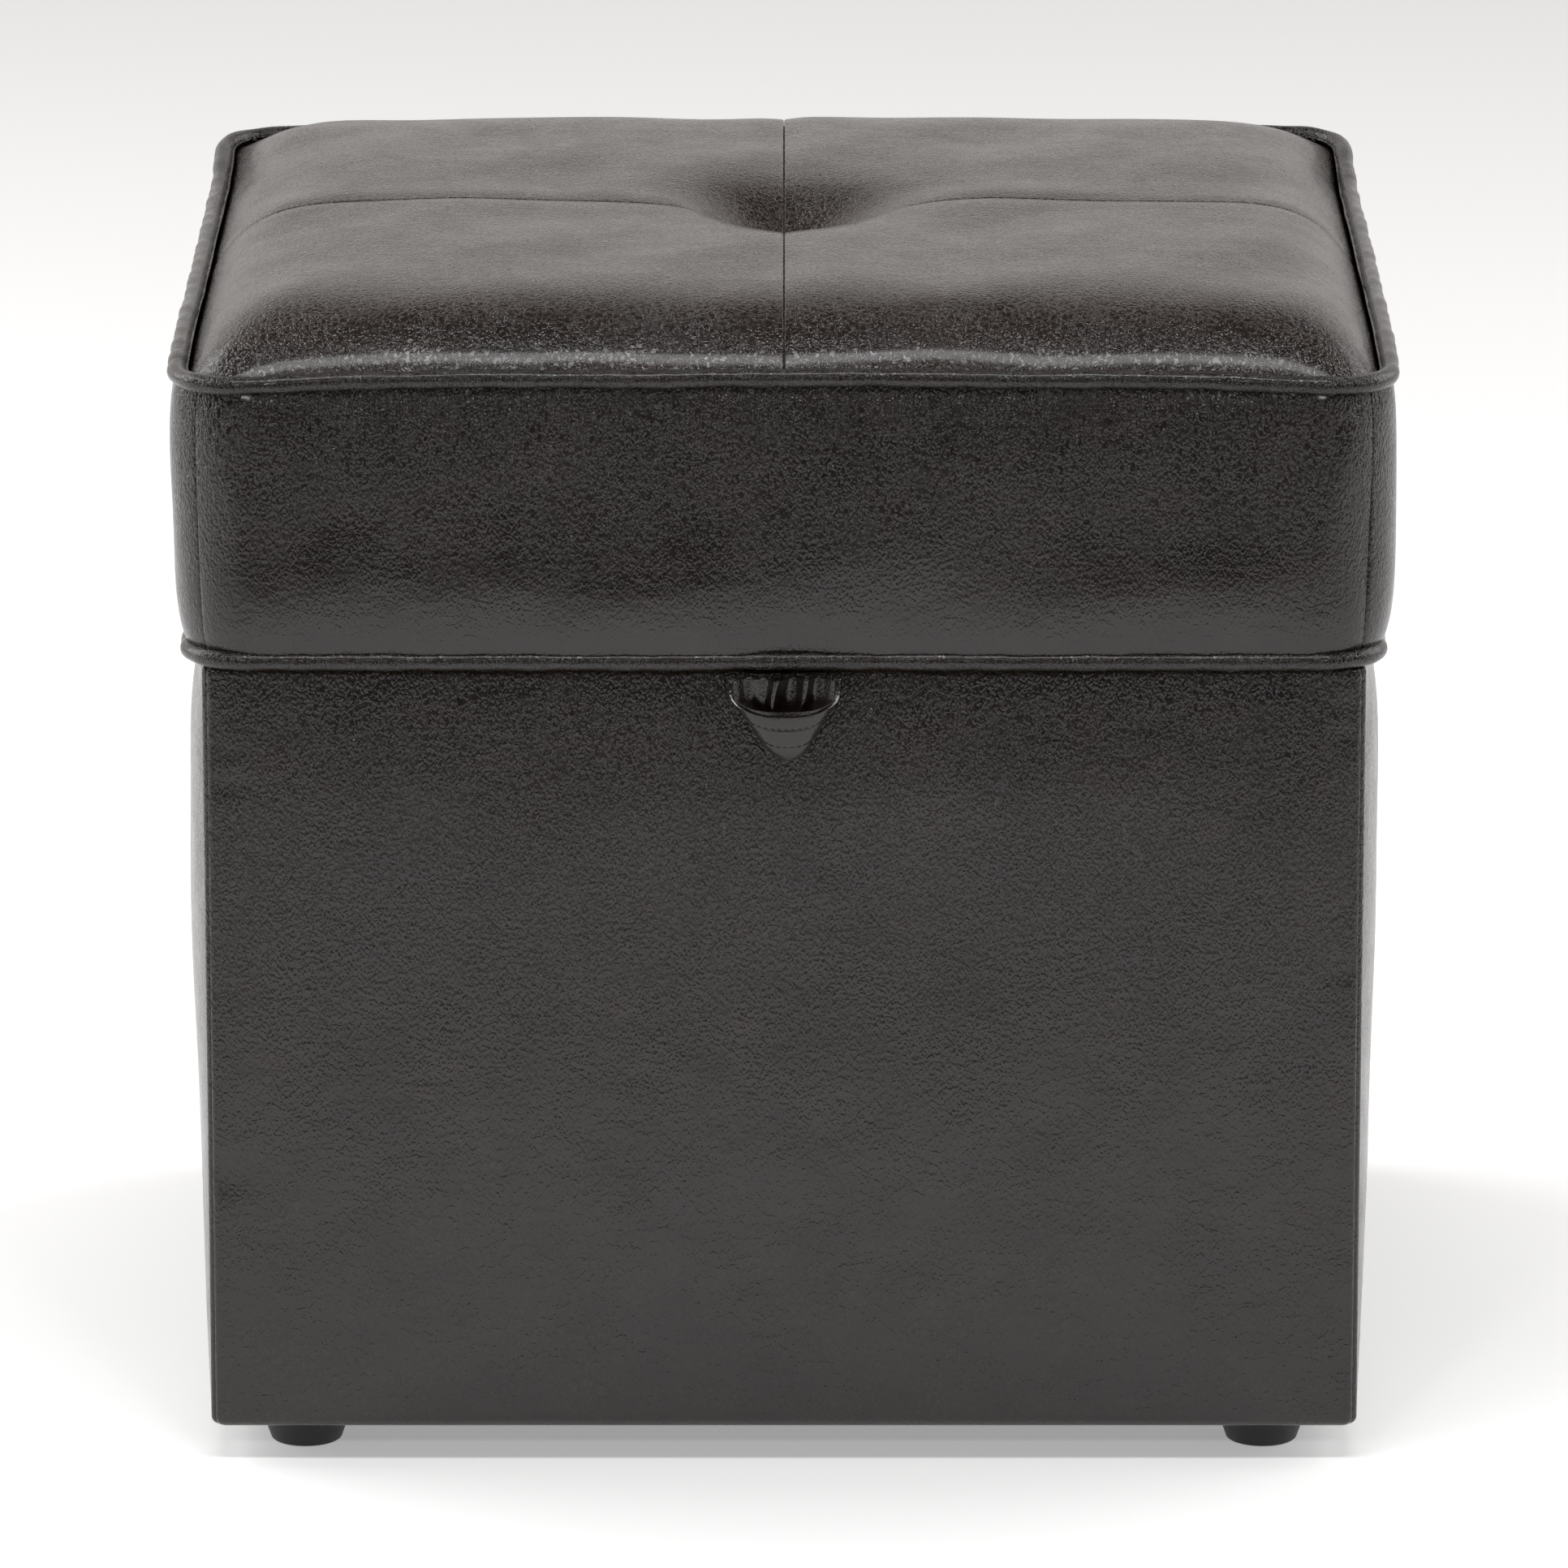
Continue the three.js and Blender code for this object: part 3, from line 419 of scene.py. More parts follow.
def band_surface(side, run, v):
    """Points of the band at distances `run` along it and heights v from 0 to 1, with normals."""
    _, total = band_columns(side)
    s = run / total
    half_x, half_y = (lower + BAND_FOOT_OUT + (upper - BAND_TOP_IN - lower - BAND_FOOT_OUT) * v
                      for lower, upper in ((LOWER_X, UPPER_X), (LOWER_Y, UPPER_Y)))
    point, normal, tangent = side_path(side, half_x, half_y, UPPER_CORNER, s)
    lift = (1 - np.abs(2 * v - 1) ** 4) ** (1 / 2.2)
    ends = 1 - 0.35 * np.abs(s) ** 10
    offset = -BAND_TUCK + (BAND_BULGE + BAND_TUCK) * lift * ends
    waves = Ripples(SEED + 20 + list(SIDES).index(side), 0.30 * MM, 45 * MM, 140 * MM)
    offset = offset + waves.at(run, v * 0.1) * np.sin(math.pi * v) ** 0.6
    offset = offset + band_pulls(side, run, v, total)
    top = UPPER_Z - corner_sag(point[..., 0], point[..., 1])
    z = LOWER_Z + (top - LOWER_Z) * v
    plan = point + normal * offset[..., None]
    return np.concatenate([plan, z[..., None]], -1), normal, tangent


def band_pulls(side, run, v, total):
    """Dents of the band: soft pulls beside both pipings, and the one above the pull tab."""
    draw = np.random.default_rng(SEED + 70 + list(SIDES).index(side))
    dents = np.zeros_like(run + v)
    for _ in range(16):
        at, wide = draw.uniform(-0.95, 0.95) * total, draw.uniform(9, 26) * MM
        from_top = draw.random() < 0.5
        deep, tall = draw.uniform(0.15, 0.45) * MM, draw.uniform(0.10, 0.22)
        height = (1 - v) if from_top else v
        dents -= deep * np.exp(-((run - at) / wide) ** 2) * np.exp(-((height - 0.06) / tall) ** 2)
    if side == "front":
        dents -= 1.6 * MM * np.exp(-((run - 3 * MM) / (17 * MM)) ** 2) * np.exp(-(v / 0.13) ** 2)
    return dents


def lid_band(side, material):
    run, total = band_columns(side)
    v = (1 - np.cos(np.linspace(0, math.pi, BAND_ROWS))) / 2
    R, V = np.meshgrid(run, v)
    points, _, _ = band_surface(side, R, V)
    p, q = sewn_edge(BAND_LIP, BAND_GAP)
    columns = [points]
    for end in (-1, 1):
        at_end = np.full((BAND_ROWS, 1), end * (total - BAND_LIP))
        edge, out, along = band_surface(side, at_end, v[:, None])
        shift = end * (BAND_LIP - p)
        fold = np.repeat(edge, len(p), 1)
        fold[..., :2] += along * shift[None, :, None] - out * q[None, :, None]
        columns = [fold[:, :-1]] + columns if end < 0 else columns + [fold[:, ::-1][:, 1:]]
    shape = np.concatenate(columns, 1)
    piece = grid_object(f"lid_band_{side}_leather", shape, material, "lid", flip=True)
    thicken(piece, LEATHER * 0.8)
    stand_in(piece, f"lid_band_{side}")


# ---- seat ----


def seat_height(x, y):
    """Height of the seat over its plan, before the corners are squeezed in."""
    rise_x = 1 - np.exp(-np.clip(SEAT_X - np.abs(x), 0, None) / ROLL)
    rise_y = 1 - np.exp(-np.clip(SEAT_Y - np.abs(y), 0, None) / ROLL)
    rearwards = np.tanh(y / TUFT_Y)
    across = x / (TUFT_X + TUFT_SKEW * np.tanh(x / TUFT_X)) / (1 + TUFT_SPREAD * rearwards)
    along = y / TUFT_Y
    pit = np.exp(-((across ** 2 + along ** 2) ** TUFT_STEEP))
    bowl = np.exp(-(x ** 2 + y ** 2) / TUFT_BOWL ** 2)
    dimple = TUFT_DEPTH * ((1 - BOWL_SHARE) * pit + BOWL_SHARE * bowl)
    inset = np.minimum(SEAT_X - np.abs(x), SEAT_Y - np.abs(y)).clip(0)
    sag = corner_sag(x, y) * np.exp(-inset / SAG_REACH)
    return SEAT_EDGE_Z + CROWN * rise_x * rise_y - dimple - sag


def seam_valley(distance, radius):
    """The dip beside a sewn seam, which fades where the seam sinks into the tuft."""
    near = 0.7 * MM * np.exp(-((distance / (7 * MM)) ** 2))
    sharp = 0.4 * MM * np.exp(-distance / (1.3 * MM))
    return (near + sharp) * (0.6 + 0.4 * np.clip(radius / (40 * MM), 0, 1))


SEAT_LIP = 0.6 * MM
SEAT_GAP = 0.10 * MM  # half the gap between two panels at a seam
SEAT_TUCK = (1.5 * MM, 3.5 * MM)  # how far the outer edge turns down, in two steps
SEAT_WAVES = Ripples(SEED + 5, 0.45 * MM, 55 * MM, 150 * MM)


def seat_panel(quadrant, material):
    sx, sy = QUADRANTS[quadrant]
    p, q = sewn_edge(SEAT_LIP, SEAT_GAP)
    lines, drops = [], []
    for half in (SEAT_X, SEAT_Y):
        run = graded(half - p[-1], 0.5 * MM, 0.9 * MM, 2.6 * MM, 0.085)
        lines.append(np.concatenate([p[:-1], p[-1] + run, [half, half]]))
        drops.append(np.concatenate([q[:-1], 0 * run, SEAT_TUCK]))
    X, Y = np.meshgrid(*lines)
    drop = drops[0][None, :] + drops[1][:, None]
    radius = np.hypot(X, Y)
    x, y = sx * X, sy * Y
    z = seat_height(x, y) - drop - (seam_valley(X, radius) + seam_valley(Y, radius))
    calm = (1 - np.exp(-(SEAT_X - X) / (12 * MM))) * (1 - np.exp(-(SEAT_Y - Y) / (12 * MM)))
    z += SEAT_WAVES.at(x, y) * calm
    z += tuft_creases(x, y, radius)
    px, py = squeeze(x, y, SEAT_X, SEAT_Y, SEAT_CORNER)
    points = np.stack([px, py, z], -1)
    piece = grid_object(f"seat_panel_{quadrant}_leather", points, material, "lid", flip=sx * sy < 0)
    thicken(piece, LEATHER * 0.7)
    stand_in(piece, f"seat_panel_{quadrant}")


def tuft_creases(x, y, radius):
    """Soft folds that run out of the tuft."""
    draw = np.random.default_rng(SEED + 90)
    angle = np.arctan2(y, x)
    total = np.zeros_like(radius)
    for _ in range(11):
        at, narrow = draw.uniform(-math.pi, math.pi), draw.uniform(0.10, 0.22)
        deep, far = draw.uniform(0.08, 0.28) * MM, draw.uniform(20, 38) * MM
        turn = (angle - at + math.pi) % (2 * math.pi) - math.pi
        total -= deep * np.exp(-((turn / narrow) ** 2)) * np.exp(-(((radius - far) / (14 * MM)) ** 2))
    return total


def seat_foam(material):
    """The padding under the seat cover, a closed block that follows its shape."""
    shy = 0.9935  # the block stays just inside the cover
    halves = [graded(half, 4 * MM, 3 * MM, 7 * MM) * shy for half in (SEAT_X, SEAT_Y)]
    X, Y = np.meshgrid(*[np.concatenate([-run[::-1], run[1:]]) for run in halves])
    px, py = squeeze(X, Y, SEAT_X * shy, SEAT_Y * shy, SEAT_CORNER)
    radius = np.hypot(X, Y)
    top = seat_height(X, Y) - seam_valley(np.abs(X), radius) - seam_valley(np.abs(Y), radius)
    top = top - FOAM_UNDER
    bottom = np.full_like(top, low("seat_foam")[2])
    rows, columns = top.shape
    points = np.concatenate([np.stack([px, py, top], -1).reshape(-1, 3),
                             np.stack([px, py, bottom], -1).reshape(-1, 3)])
    under = rows * columns
    faces = grid_faces(rows, columns)
    faces += moved_faces(grid_faces(rows, columns, flip=True), under)
    edge = [(0, c) for c in range(columns)] + [(r, columns - 1) for r in range(1, rows)]
    edge += [(rows - 1, c) for c in range(columns - 2, -1, -1)]
    edge += [(r, 0) for r in range(rows - 2, 0, -1)]
    ids = [r * columns + c for r, c in edge]
    for a, b in zip(ids, ids[1:] + ids[:1]):
        faces.append((b, a, a + under, b + under))
    piece = make_object("seat_foam_block", points, faces, material, "lid")
    stand_in(piece, "seat_foam")


# ---- piping ----

WIDEST_PHASE = 6.3


def ring_wave(at, length, cycles, draw):
    """A sine with a random phase that meets itself round a loop."""
    return np.sin(2 * math.pi * cycles * at / length + draw.uniform(0, WIDEST_PHASE))


def piping(name, half_x, half_y, z, corner, radius, sag, wave, material):
    """A round welt along a rounded rectangle; its height and place wander by about `wave`."""
    count, sides = 900, 18
    plan, out, at, length = rounded_loop(half_x, half_y, corner, count)
    draw = np.random.default_rng(SEED + len(name))
    height, push = np.zeros(count), np.zeros(count)
    for cycles in (5, 9, 14, 23, 37):
        size = wave / cycles ** 0.6
        height += size * ring_wave(at, length, cycles, draw)
        push += 0.6 * size * ring_wave(at, length, cycles, draw)
    if sag:
        height -= corner_sag(plan[:, 0], plan[:, 1])
    centre = np.concatenate([plan + out * push[:, None], (z + height)[:, None]], 1)
    thick = np.full(count, radius)
    for cycles in (31, 58, 97):
        thick += 0.035 * radius * ring_wave(at, length, cycles, draw)
    thick *= 1 + join_lump(at, length)
    angle = np.linspace(0, 2 * math.pi, sides, endpoint=False)
    around = np.cos(angle)[None, :, None] * np.concatenate([out, np.zeros((count, 1))], 1)[:, None]
    around = around + np.sin(angle)[None, :, None] * np.array([0, 0, 1.0])
    points = centre[:, None] + thick[:, None, None] * around
    faces = grid_faces(count, sides, ring=True)
    end = (count - 1) * sides
    last = [(end + c, end + (c + 1) % sides, (c + 1) % sides, c) for c in range(sides)]
    piece = make_object(f"{name}_leather", points.reshape(-1, 3), faces + last, material, "lid")
    stand_in(piece, name)


def join_lump(at, length):
    """The overlaps where the two strips of a piping meet, halfway along the left and right."""
    total = np.zeros_like(at)
    for share in (0.493, 0.981):
        near = np.abs(at - length * share)
        total += 0.12 * np.exp(-((near / (5 * MM)) ** 4))
        total -= 0.07 * np.exp(-(((near - 6.4 * MM) / (0.9 * MM)) ** 2))
    return total


# ---- stitches ----


def stitch_mesh(name, line, outward, pitch, length, radius, material, body):
    """Dashes of thread along a dense line of points, each a small arched capsule."""
    run = run_along(line)
    points, faces = [], []
    sides, rings = 6, 7
    caps = [range(sides), [(rings - 1) * sides + i for i in reversed(range(sides))]]
    dash = grid_faces(rings, sides, ring=True, flip=True) + caps
    angle = np.linspace(0, 2 * math.pi, sides, endpoint=False)
    for start in np.arange(pitch * 0.4, run[-1] - length, pitch):
        at = start + np.linspace(0, length, rings)
        centre, up = places_at(at, run, line), places_at(at, run, outward)
        along = (centre[-1] - centre[0]) / np.linalg.norm(centre[-1] - centre[0])
        up = up - (up @ along)[:, None] * along
        up /= np.linalg.norm(up, axis=1)[:, None]
        side = np.cross(along, up)
        t = np.linspace(-1, 1, rings)
        thick = radius * np.sqrt(np.clip(1 - t ** 6, 0.04, 1))
        centre = centre + up * (radius * (0.75 - 1.1 * t ** 4))[:, None]
        ring = centre[:, None] + thick[:, None, None] * (
            np.cos(angle)[None, :, None] * up[:, None] + np.sin(angle)[None, :, None] * side[:, None])
        faces += moved_faces(dash, len(points))
        points.extend(ring.reshape(-1, 3))
    make_object(name, points, faces, material, body)


STITCH_LINE = 120  # points along a line of stitches
STITCH_INSET = 2.6 * MM  # from a corner seam to its topstitching


def band_stitches(side, end, material):
    _, total = band_columns(side)
    v = np.linspace(0.07, 0.93, STITCH_LINE)[:, None]
    run = np.full((STITCH_LINE, 1), end * (total - STITCH_INSET))
    points, normal, _ = band_surface(side, run, v)
    outward = np.concatenate([normal[:, 0], np.zeros((STITCH_LINE, 1))], 1)
    name = f"band_stitches_{side}_{'start' if end < 0 else 'end'}"
    stitch_mesh(name, points[:, 0], outward, 4.2 * MM, 3.0 * MM, 0.22 * MM, material, "lid")


# ---- pull tab ----

TAB_DROOP = 13.7 * MM  # how far the middle of the rim hangs down
TAB_TIP_Z = TAB_LOW[2] - 1.5 * MM
TAB_BACK = TAB_HIGH[1] - 0.8 * MM
TAB_WIDE = (TAB_HIGH[0] - TAB_LOW[0]) / 2


def tab_section(height):
    """Half width, depth and sideways lean of the tab at a height above its tip."""
    h = np.clip(height, 0.12 * MM, None) / MM
    point, taper = 5.0 * (1 - np.exp(-h / 1.6)), 0.60 * h
    shoulder = 1.2 * np.exp(-((h - 24) / 3.2) ** 2)
    short_of_widest = TAB_WIDE / MM - 0.4 - (point + taper + shoulder)
    soft = 1.2  # the half width runs softly into its largest value
    half = TAB_WIDE - 0.4 * MM - np.logaddexp(0, short_of_widest * soft) / soft * MM
    thin, deep, thicken_over = 2.4, (TAB_BACK - TAB_LOW[1]) / MM - 0.8, 8.5
    grown = (1 - np.exp(-h / thicken_over)) / (1 - math.exp(-18.8 / thicken_over))
    depth = thin + (deep - thin) * grown
    return np.maximum(half, 0.25 * MM), np.minimum(depth, deep) * MM, 2.0 * np.exp(-h / 12) * MM


def tab_rim_height(angle, lift):
    """The rim hangs down at the middle, and rises steeply to the ends under the piping."""
    droop = (TAB_DROOP - lift) * np.abs(np.cos(angle)) ** 0.36
    return TAB_HIGH[2] - 0.2 * MM - droop


def tab_point(angle, z, inwards=0.0):
    """A point of the tab's rounded outline; angle is 0 in front and a quarter turn at the sides."""
    half, depth, lean = tab_section(z - TAB_TIP_Z)
    x = (half - inwards) * np.sign(angle) * np.abs(np.sin(angle)) ** 0.72 + lean
    y = TAB_BACK - (depth - inwards) * np.abs(np.cos(angle)) ** 0.60
    return np.stack([x, y, z], -1)


def tab_row_height(angle, below):
    """Height of a stitch row that far below the middle of the rim."""
    return TAB_HIGH[2] - TAB_DROOP - below + 2.4 * MM * np.sin(angle) ** 2


STITCH_ROWS = {"upper": 5.2 * MM, "lower": 12.6 * MM}
STITCH_PULL = 0.25 * MM  # how deep the thread sinks into the leather


def tab_layer(name, lift, inwards, bottom, material):
    """One layer of the folded tab: the outer face, or the lining that shows above its rim."""
    angle = np.sin(np.linspace(-1, 1, 73) * math.pi / 2) * 0.999 * math.pi / 2
    A, T = np.meshgrid(angle, np.linspace(0, 1, 46))
    top = tab_rim_height(A, lift)
    low_z = bottom + 1.0 * MM * np.sin(A) ** 2
    z = top + (low_z - top) * T
    points = tab_point(A, z, inwards)
    for below in STITCH_ROWS.values() if inwards == 0 else ():
        near = (z - tab_row_height(A, below)) / (0.45 * MM)
        points[..., 1] += STITCH_PULL * np.exp(-near ** 2)
    piece = grid_object(name, points, material, "pull_tab", flip=True)
    thicken(piece, 0.9 * MM)
    edge = piece.modifiers.new("edge", "BEVEL")
    edge.width, edge.segments, edge.limit_method = 0.42 * MM, 4, "ANGLE"
    edge.angle_limit = math.radians(60)
    return piece


# Ridges of the gathered strip behind the rim: middle, height and half width, all in millimetres.
TAB_RIDGES = ((-20, 4.8, 4.5), (-9, 2.6, 3.5), (-2.6, 7.0, 3.2), (8.5, 4.2, 2.6), (20, 4.8, 4.0))


def tab_folds(material):
    """The two ends of the strip, curled in behind the rim with an open fold between them."""
    X, T = np.meshgrid(np.linspace(-19.5, 19.5, 110), np.linspace(0, 1, 30))
    wave = np.full_like(X, 0.8)
    for middle, height, half_width in TAB_RIDGES:
        wave += height * np.exp(-((X - middle) / half_width) ** 2)
    pull = 4.2 * np.exp(-((X + 1.5) / 5.5) ** 2) + 1.6 * np.exp(-((X - 11) / 5) ** 2)
    z = TAB_HIGH[2] - 0.5 * MM - (TAB_DROOP + 3.5 * MM) * T
    half, depth, _ = tab_section(z - TAB_TIP_Z)
    across = (X - pull * T) * MM * (half - 1.6 * MM) / (20 * MM)
    y = TAB_BACK - wave * MM * (0.95 - 0.15 * T)
    y = np.maximum(y, TAB_BACK - depth + 2.2 * MM)
    points = np.stack([across, y, z], -1)
    piece = grid_object("pull_tab_folds", points, material, "pull_tab", flip=True)
    thicken(piece, 0.8 * MM)


def tab_stitches(row, material):
    angle = np.linspace(-1.15, 1.15, STITCH_LINE)
    line = tab_point(angle, tab_row_height(angle, STITCH_ROWS[row]))
    line[:, 1] += STITCH_PULL
    outward = np.stack([0.5 * np.sin(angle), -np.ones(STITCH_LINE), np.full(STITCH_LINE, 0.1)], -1)
    stitch_mesh(f"pull_tab_stitches_{row}", line, outward, 2.6 * MM, 1.9 * MM, 0.19 * MM,
                material, "pull_tab")


# ---- inside and underside ----


LINER_COLUMNS = 320
LINER_LEG = 44.6 * MM  # legs of the triangles that the corner posts take from the inside


def liner_outline():
    """The eight-sided inside of the box, with softened corners, as a closed run of points."""
    (x, y), leg = high("storage_liner")[:2] - FABRIC, LINER_LEG
    corners = np.array([(x, leg - y), (x, y - leg), (x - leg, y), (leg - x, y),
                        (-x, y - leg), (-x, leg - y), (leg - x, -y), (x - leg, -y)])
    path, soft = [], 6 * MM
    for k in range(8):
        before, here, after = corners[k - 1], corners[k], corners[(k + 1) % 8]
        start = here + (before - here) / np.linalg.norm(before - here) * soft
        end = here + (after - here) / np.linalg.norm(after - here) * soft
        for b in np.linspace(0, 1, 6)[:, None]:
            path.append(((1 - b) ** 2 * start + 2 * b * (1 - b) * here + b ** 2 * end)[None, :])
    closed = np.concatenate(path + path[:1])
    run = run_along(closed)
    at = np.linspace(0, run[-1], LINER_COLUMNS, endpoint=False)
    return places_at(at, run, closed), at, run[-1]


def liner_walls(material):
    plan, at, length = liner_outline()
    z0, z1 = low("storage_liner")[2] + 1.2 * MM, high("storage_liner")[2]
    rows = graded(z1 - z0, 3 * MM, 2 * MM, 9 * MM)
    tangent = np.roll(plan, -1, 0) - np.roll(plan, 1, 0)
    inward = np.stack([-tangent[:, 1], tangent[:, 0]], 1) / np.linalg.norm(tangent, axis=1)[:, None]
    waves = Ripples(SEED + 11, 0.35 * MM, 60 * MM, 190 * MM)
    A, H = np.meshgrid(at, rows)
    slack = 0.5 * MM + waves.at(A, H) * np.sin(math.pi * np.clip(H / (z1 - z0), 0, 1)) ** 0.5
    points = np.concatenate([plan[None] + inward[None] * slack.clip(0.1 * MM)[..., None],
                             (z0 + H)[..., None]], -1)
    piece = grid_object("storage_liner_walls", points, material, "base", ring=True, flip=True)
    thicken(piece, FABRIC)
    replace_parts(piece, "storage_liner")


def liner_floor(material):
    plan, _, _ = liner_outline()
    rings = np.concatenate([[1.0], np.linspace(0.985, 0.03, 30)])
    z0 = low("storage_liner")[2] + 1.3 * MM
    waves = Ripples(SEED + 12, 0.25 * MM, 60 * MM, 170 * MM)
    points = []
    for ring in rings:
        xy = plan * ring * 0.998
        rise = 0.35 * MM + waves.at(xy[:, 0], xy[:, 1]).clip(-0.3 * MM) * (ring < 0.99)
        points.append(np.concatenate([xy, (z0 + rise)[:, None]], 1))
    points.append(np.array([[0, 0, z0 + 0.3 * MM]]))
    count = len(plan)
    faces = grid_faces(len(rings), count, ring=True)
    centre, start = len(rings) * count, (len(rings) - 1) * count
    faces += [(start + c, start + (c + 1) % count, centre) for c in range(count)]
    piece = make_object("storage_liner_floor", np.concatenate(points), faces, material, "base")
    thicken(piece, FABRIC)


def stapled_sheet(node, corner, holes, seed, material, body):
    """A sheet of fabric under a board, with a slight sag between its staples."""
    lower, upper = low(node), high(node)
    half_x, half_y, z = upper[0], upper[1], (lower[2] + upper[2]) / 2
    x, y = (graded(half, 6 * MM, 3 * MM, 8 * MM) for half in (half_x, half_y))
    x, y = np.concatenate([-x[::-1], x[1:]]), np.concatenate([-y[::-1], y[1:]])
    for x0, x1, y0, y1 in holes:
        snap(x, (x0, x1))
        snap(y, [edge for edge in (y0, y1) if abs(edge) < half_y])
    X, Y = np.meshgrid(x, y)
    waves = Ripples(seed, 0.16 * MM, 50 * MM, 160 * MM)
    near = np.minimum(half_x - np.abs(X), half_y - np.abs(Y)) / (30 * MM)
    sag = np.clip(waves.at(X, Y) + 0.05 * MM, -0.25 * MM, 0.25 * MM) * np.clip(near, 0, 1)
    px, py = squeeze(X, Y, half_x, half_y, corner)
    flat = np.stack([px, py, z + sag], -1).reshape(-1, 3)
    keep = []
    for face in grid_faces(*X.shape, flip=True):
        cx, cy = flat[list(face)].mean(0)[:2]
        if not any(x0 < cx < x1 and y0 < cy < y1 for x0, x1, y0, y1 in holes):
            keep.append(face)
    piece = make_object(f"{node}_fabric", *only_used(flat, keep), material, body)
    thicken(piece, FABRIC * 0.7, offset=0)
    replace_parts(piece, node)


def lining_holes():
    """Where the lid lining is cut out round the anchor of the pull tab and the hinge leaves."""
    lower, upper = low("lid_lining"), high("lid_lining")
    anchor_low, anchor_high = low("pull_tab_anchor"), high("pull_tab_anchor")
    edge = 0.3 * MM
    holes = [(anchor_low[0] - edge, anchor_high[0] + edge, lower[1] - 1, anchor_high[1] + edge)]
    for name in HINGES:
        leaf_low, leaf_high = low(f"hinge_lid_leaf_{name}"), high(f"hinge_lid_leaf_{name}")
        holes.append((leaf_low[0] - edge, leaf_high[0] + edge, leaf_low[1] - edge, upper[1] + 1))
    return holes


def near_tab_or_hinge(place):
    return abs(place[0]) < 24 * MM or (place[1] > 0.15 and 95 * MM < abs(place[0]) < 165 * MM)


def near_foot(place):
    return abs(place[0]) > 160 * MM and abs(place[1]) > 150 * MM


STAPLE_HALF = 5.2 * MM
STAPLE_LEG = 1.6 * MM
STAPLE_WIRE = 0.32 * MM  # half the thickness of the wire


def staples(node, inset, corner, pitch, skip, body):
    """Wire staples along the edge of a stapled sheet, seen from below."""
    half_x, half_y, _ = high(node) - inset
    count = int(round((4 * half_x + 4 * half_y) / pitch))
    plan, out, _, _ = rounded_loop(half_x, half_y, corner, count)
    draw = np.random.default_rng(SEED + 200 + count)
    half, bend = STAPLE_HALF, 0.5 * MM
    path = [(-half, -STAPLE_LEG), (-half, 0.15 * MM), (-half + bend, 0.5 * MM),
            (half - bend, 0.5 * MM), (half, 0.15 * MM), (half, -STAPLE_LEG)]
    section = np.array([(1, 1), (-1, 1), (-1, -1), (1, -1)]) * STAPLE_WIRE
    staple_faces = grid_faces(6, 4, ring=True) + [(3, 2, 1, 0), (20, 21, 22, 23)]
    down = np.array([0, 0, -1.0])
    points, faces = [], []
    for place, normal in zip(plan, out):
        if skip(place):
            continue
        turn = math.atan2(normal[1], normal[0]) + math.pi / 2 + draw.normal(0, 0.16)
        along = np.array([math.cos(turn), math.sin(turn), 0])
        side = np.array([-along[1], along[0], 0])
        centre = np.array([place[0], place[1], low(node)[2] + 0.1 * MM])
        faces += moved_faces(staple_faces, len(points))
        for k, (run, depth) in enumerate(path):
            spread = down if 1 < k < 4 else along * (1 if run > 0 else -1)
            for a, b in section:
                points.append(centre + along * run + down * depth + side * a + spread * b)
    piece = make_object(f"{node}_staples", points, faces, STAPLE, body, smooth=False)


def foot(corner, material):
    """A moulded glide, turned from its profile: the screw's recess, a rounded rim and a collar."""
    node = f"foot_{corner}"
    lower, upper = low(node), high(node)
    cx, cy = (lower[:2] + upper[:2]) / 2
    top_r, height = (upper[0] - lower[0]) / 2, upper[2]
    base_r, bore_r, recess_r, recess = 14.0 * MM, 2.2 * MM, 5.0 * MM, 7.0 * MM
    round_r = 1.4 * MM
    flat_r = base_r - round_r - 1 * MM  # the part that stands on the floor
    profile = [(bore_r, recess), (recess_r - 0.4 * MM, recess), (recess_r, recess - 0.4 * MM),
               (recess_r, 0.5 * MM), (recess_r + 0.5 * MM, 0.0), (flat_r, 0.0)]
    for a in np.linspace(0.15, 1, 6) * 1.25:
        profile.append((flat_r + round_r * math.sin(a) + 0.5 * MM * a, round_r * (1 - math.cos(a))))
    profile += [(top_r - 0.7 * MM, height - 4.2 * MM), (top_r - 0.15 * MM, height - 3.4 * MM),
                (top_r, height - 2.8 * MM), (top_r, height - 0.6 * MM),
                (top_r - 0.5 * MM, height), (bore_r, height)]
    sides = 64
    angle = np.linspace(0, 2 * math.pi, sides, endpoint=False)
    points = [(cx + r * math.cos(a), cy + r * math.sin(a), z) for r, z in profile for a in angle]
    faces = grid_faces(len(profile), sides, ring=True, flip=True)
    last = (len(profile) - 1) * sides
    faces += [(c, (c + 1) % sides, last + (c + 1) % sides, last + c) for c in range(sides)]
    piece = make_object(f"{node}_moulded", points, faces, material, "base")
    sharp = piece.modifiers.new("edges", "EDGE_SPLIT")
    sharp.split_angle = math.radians(50)
    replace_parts(piece, node)


# ---- materials ----


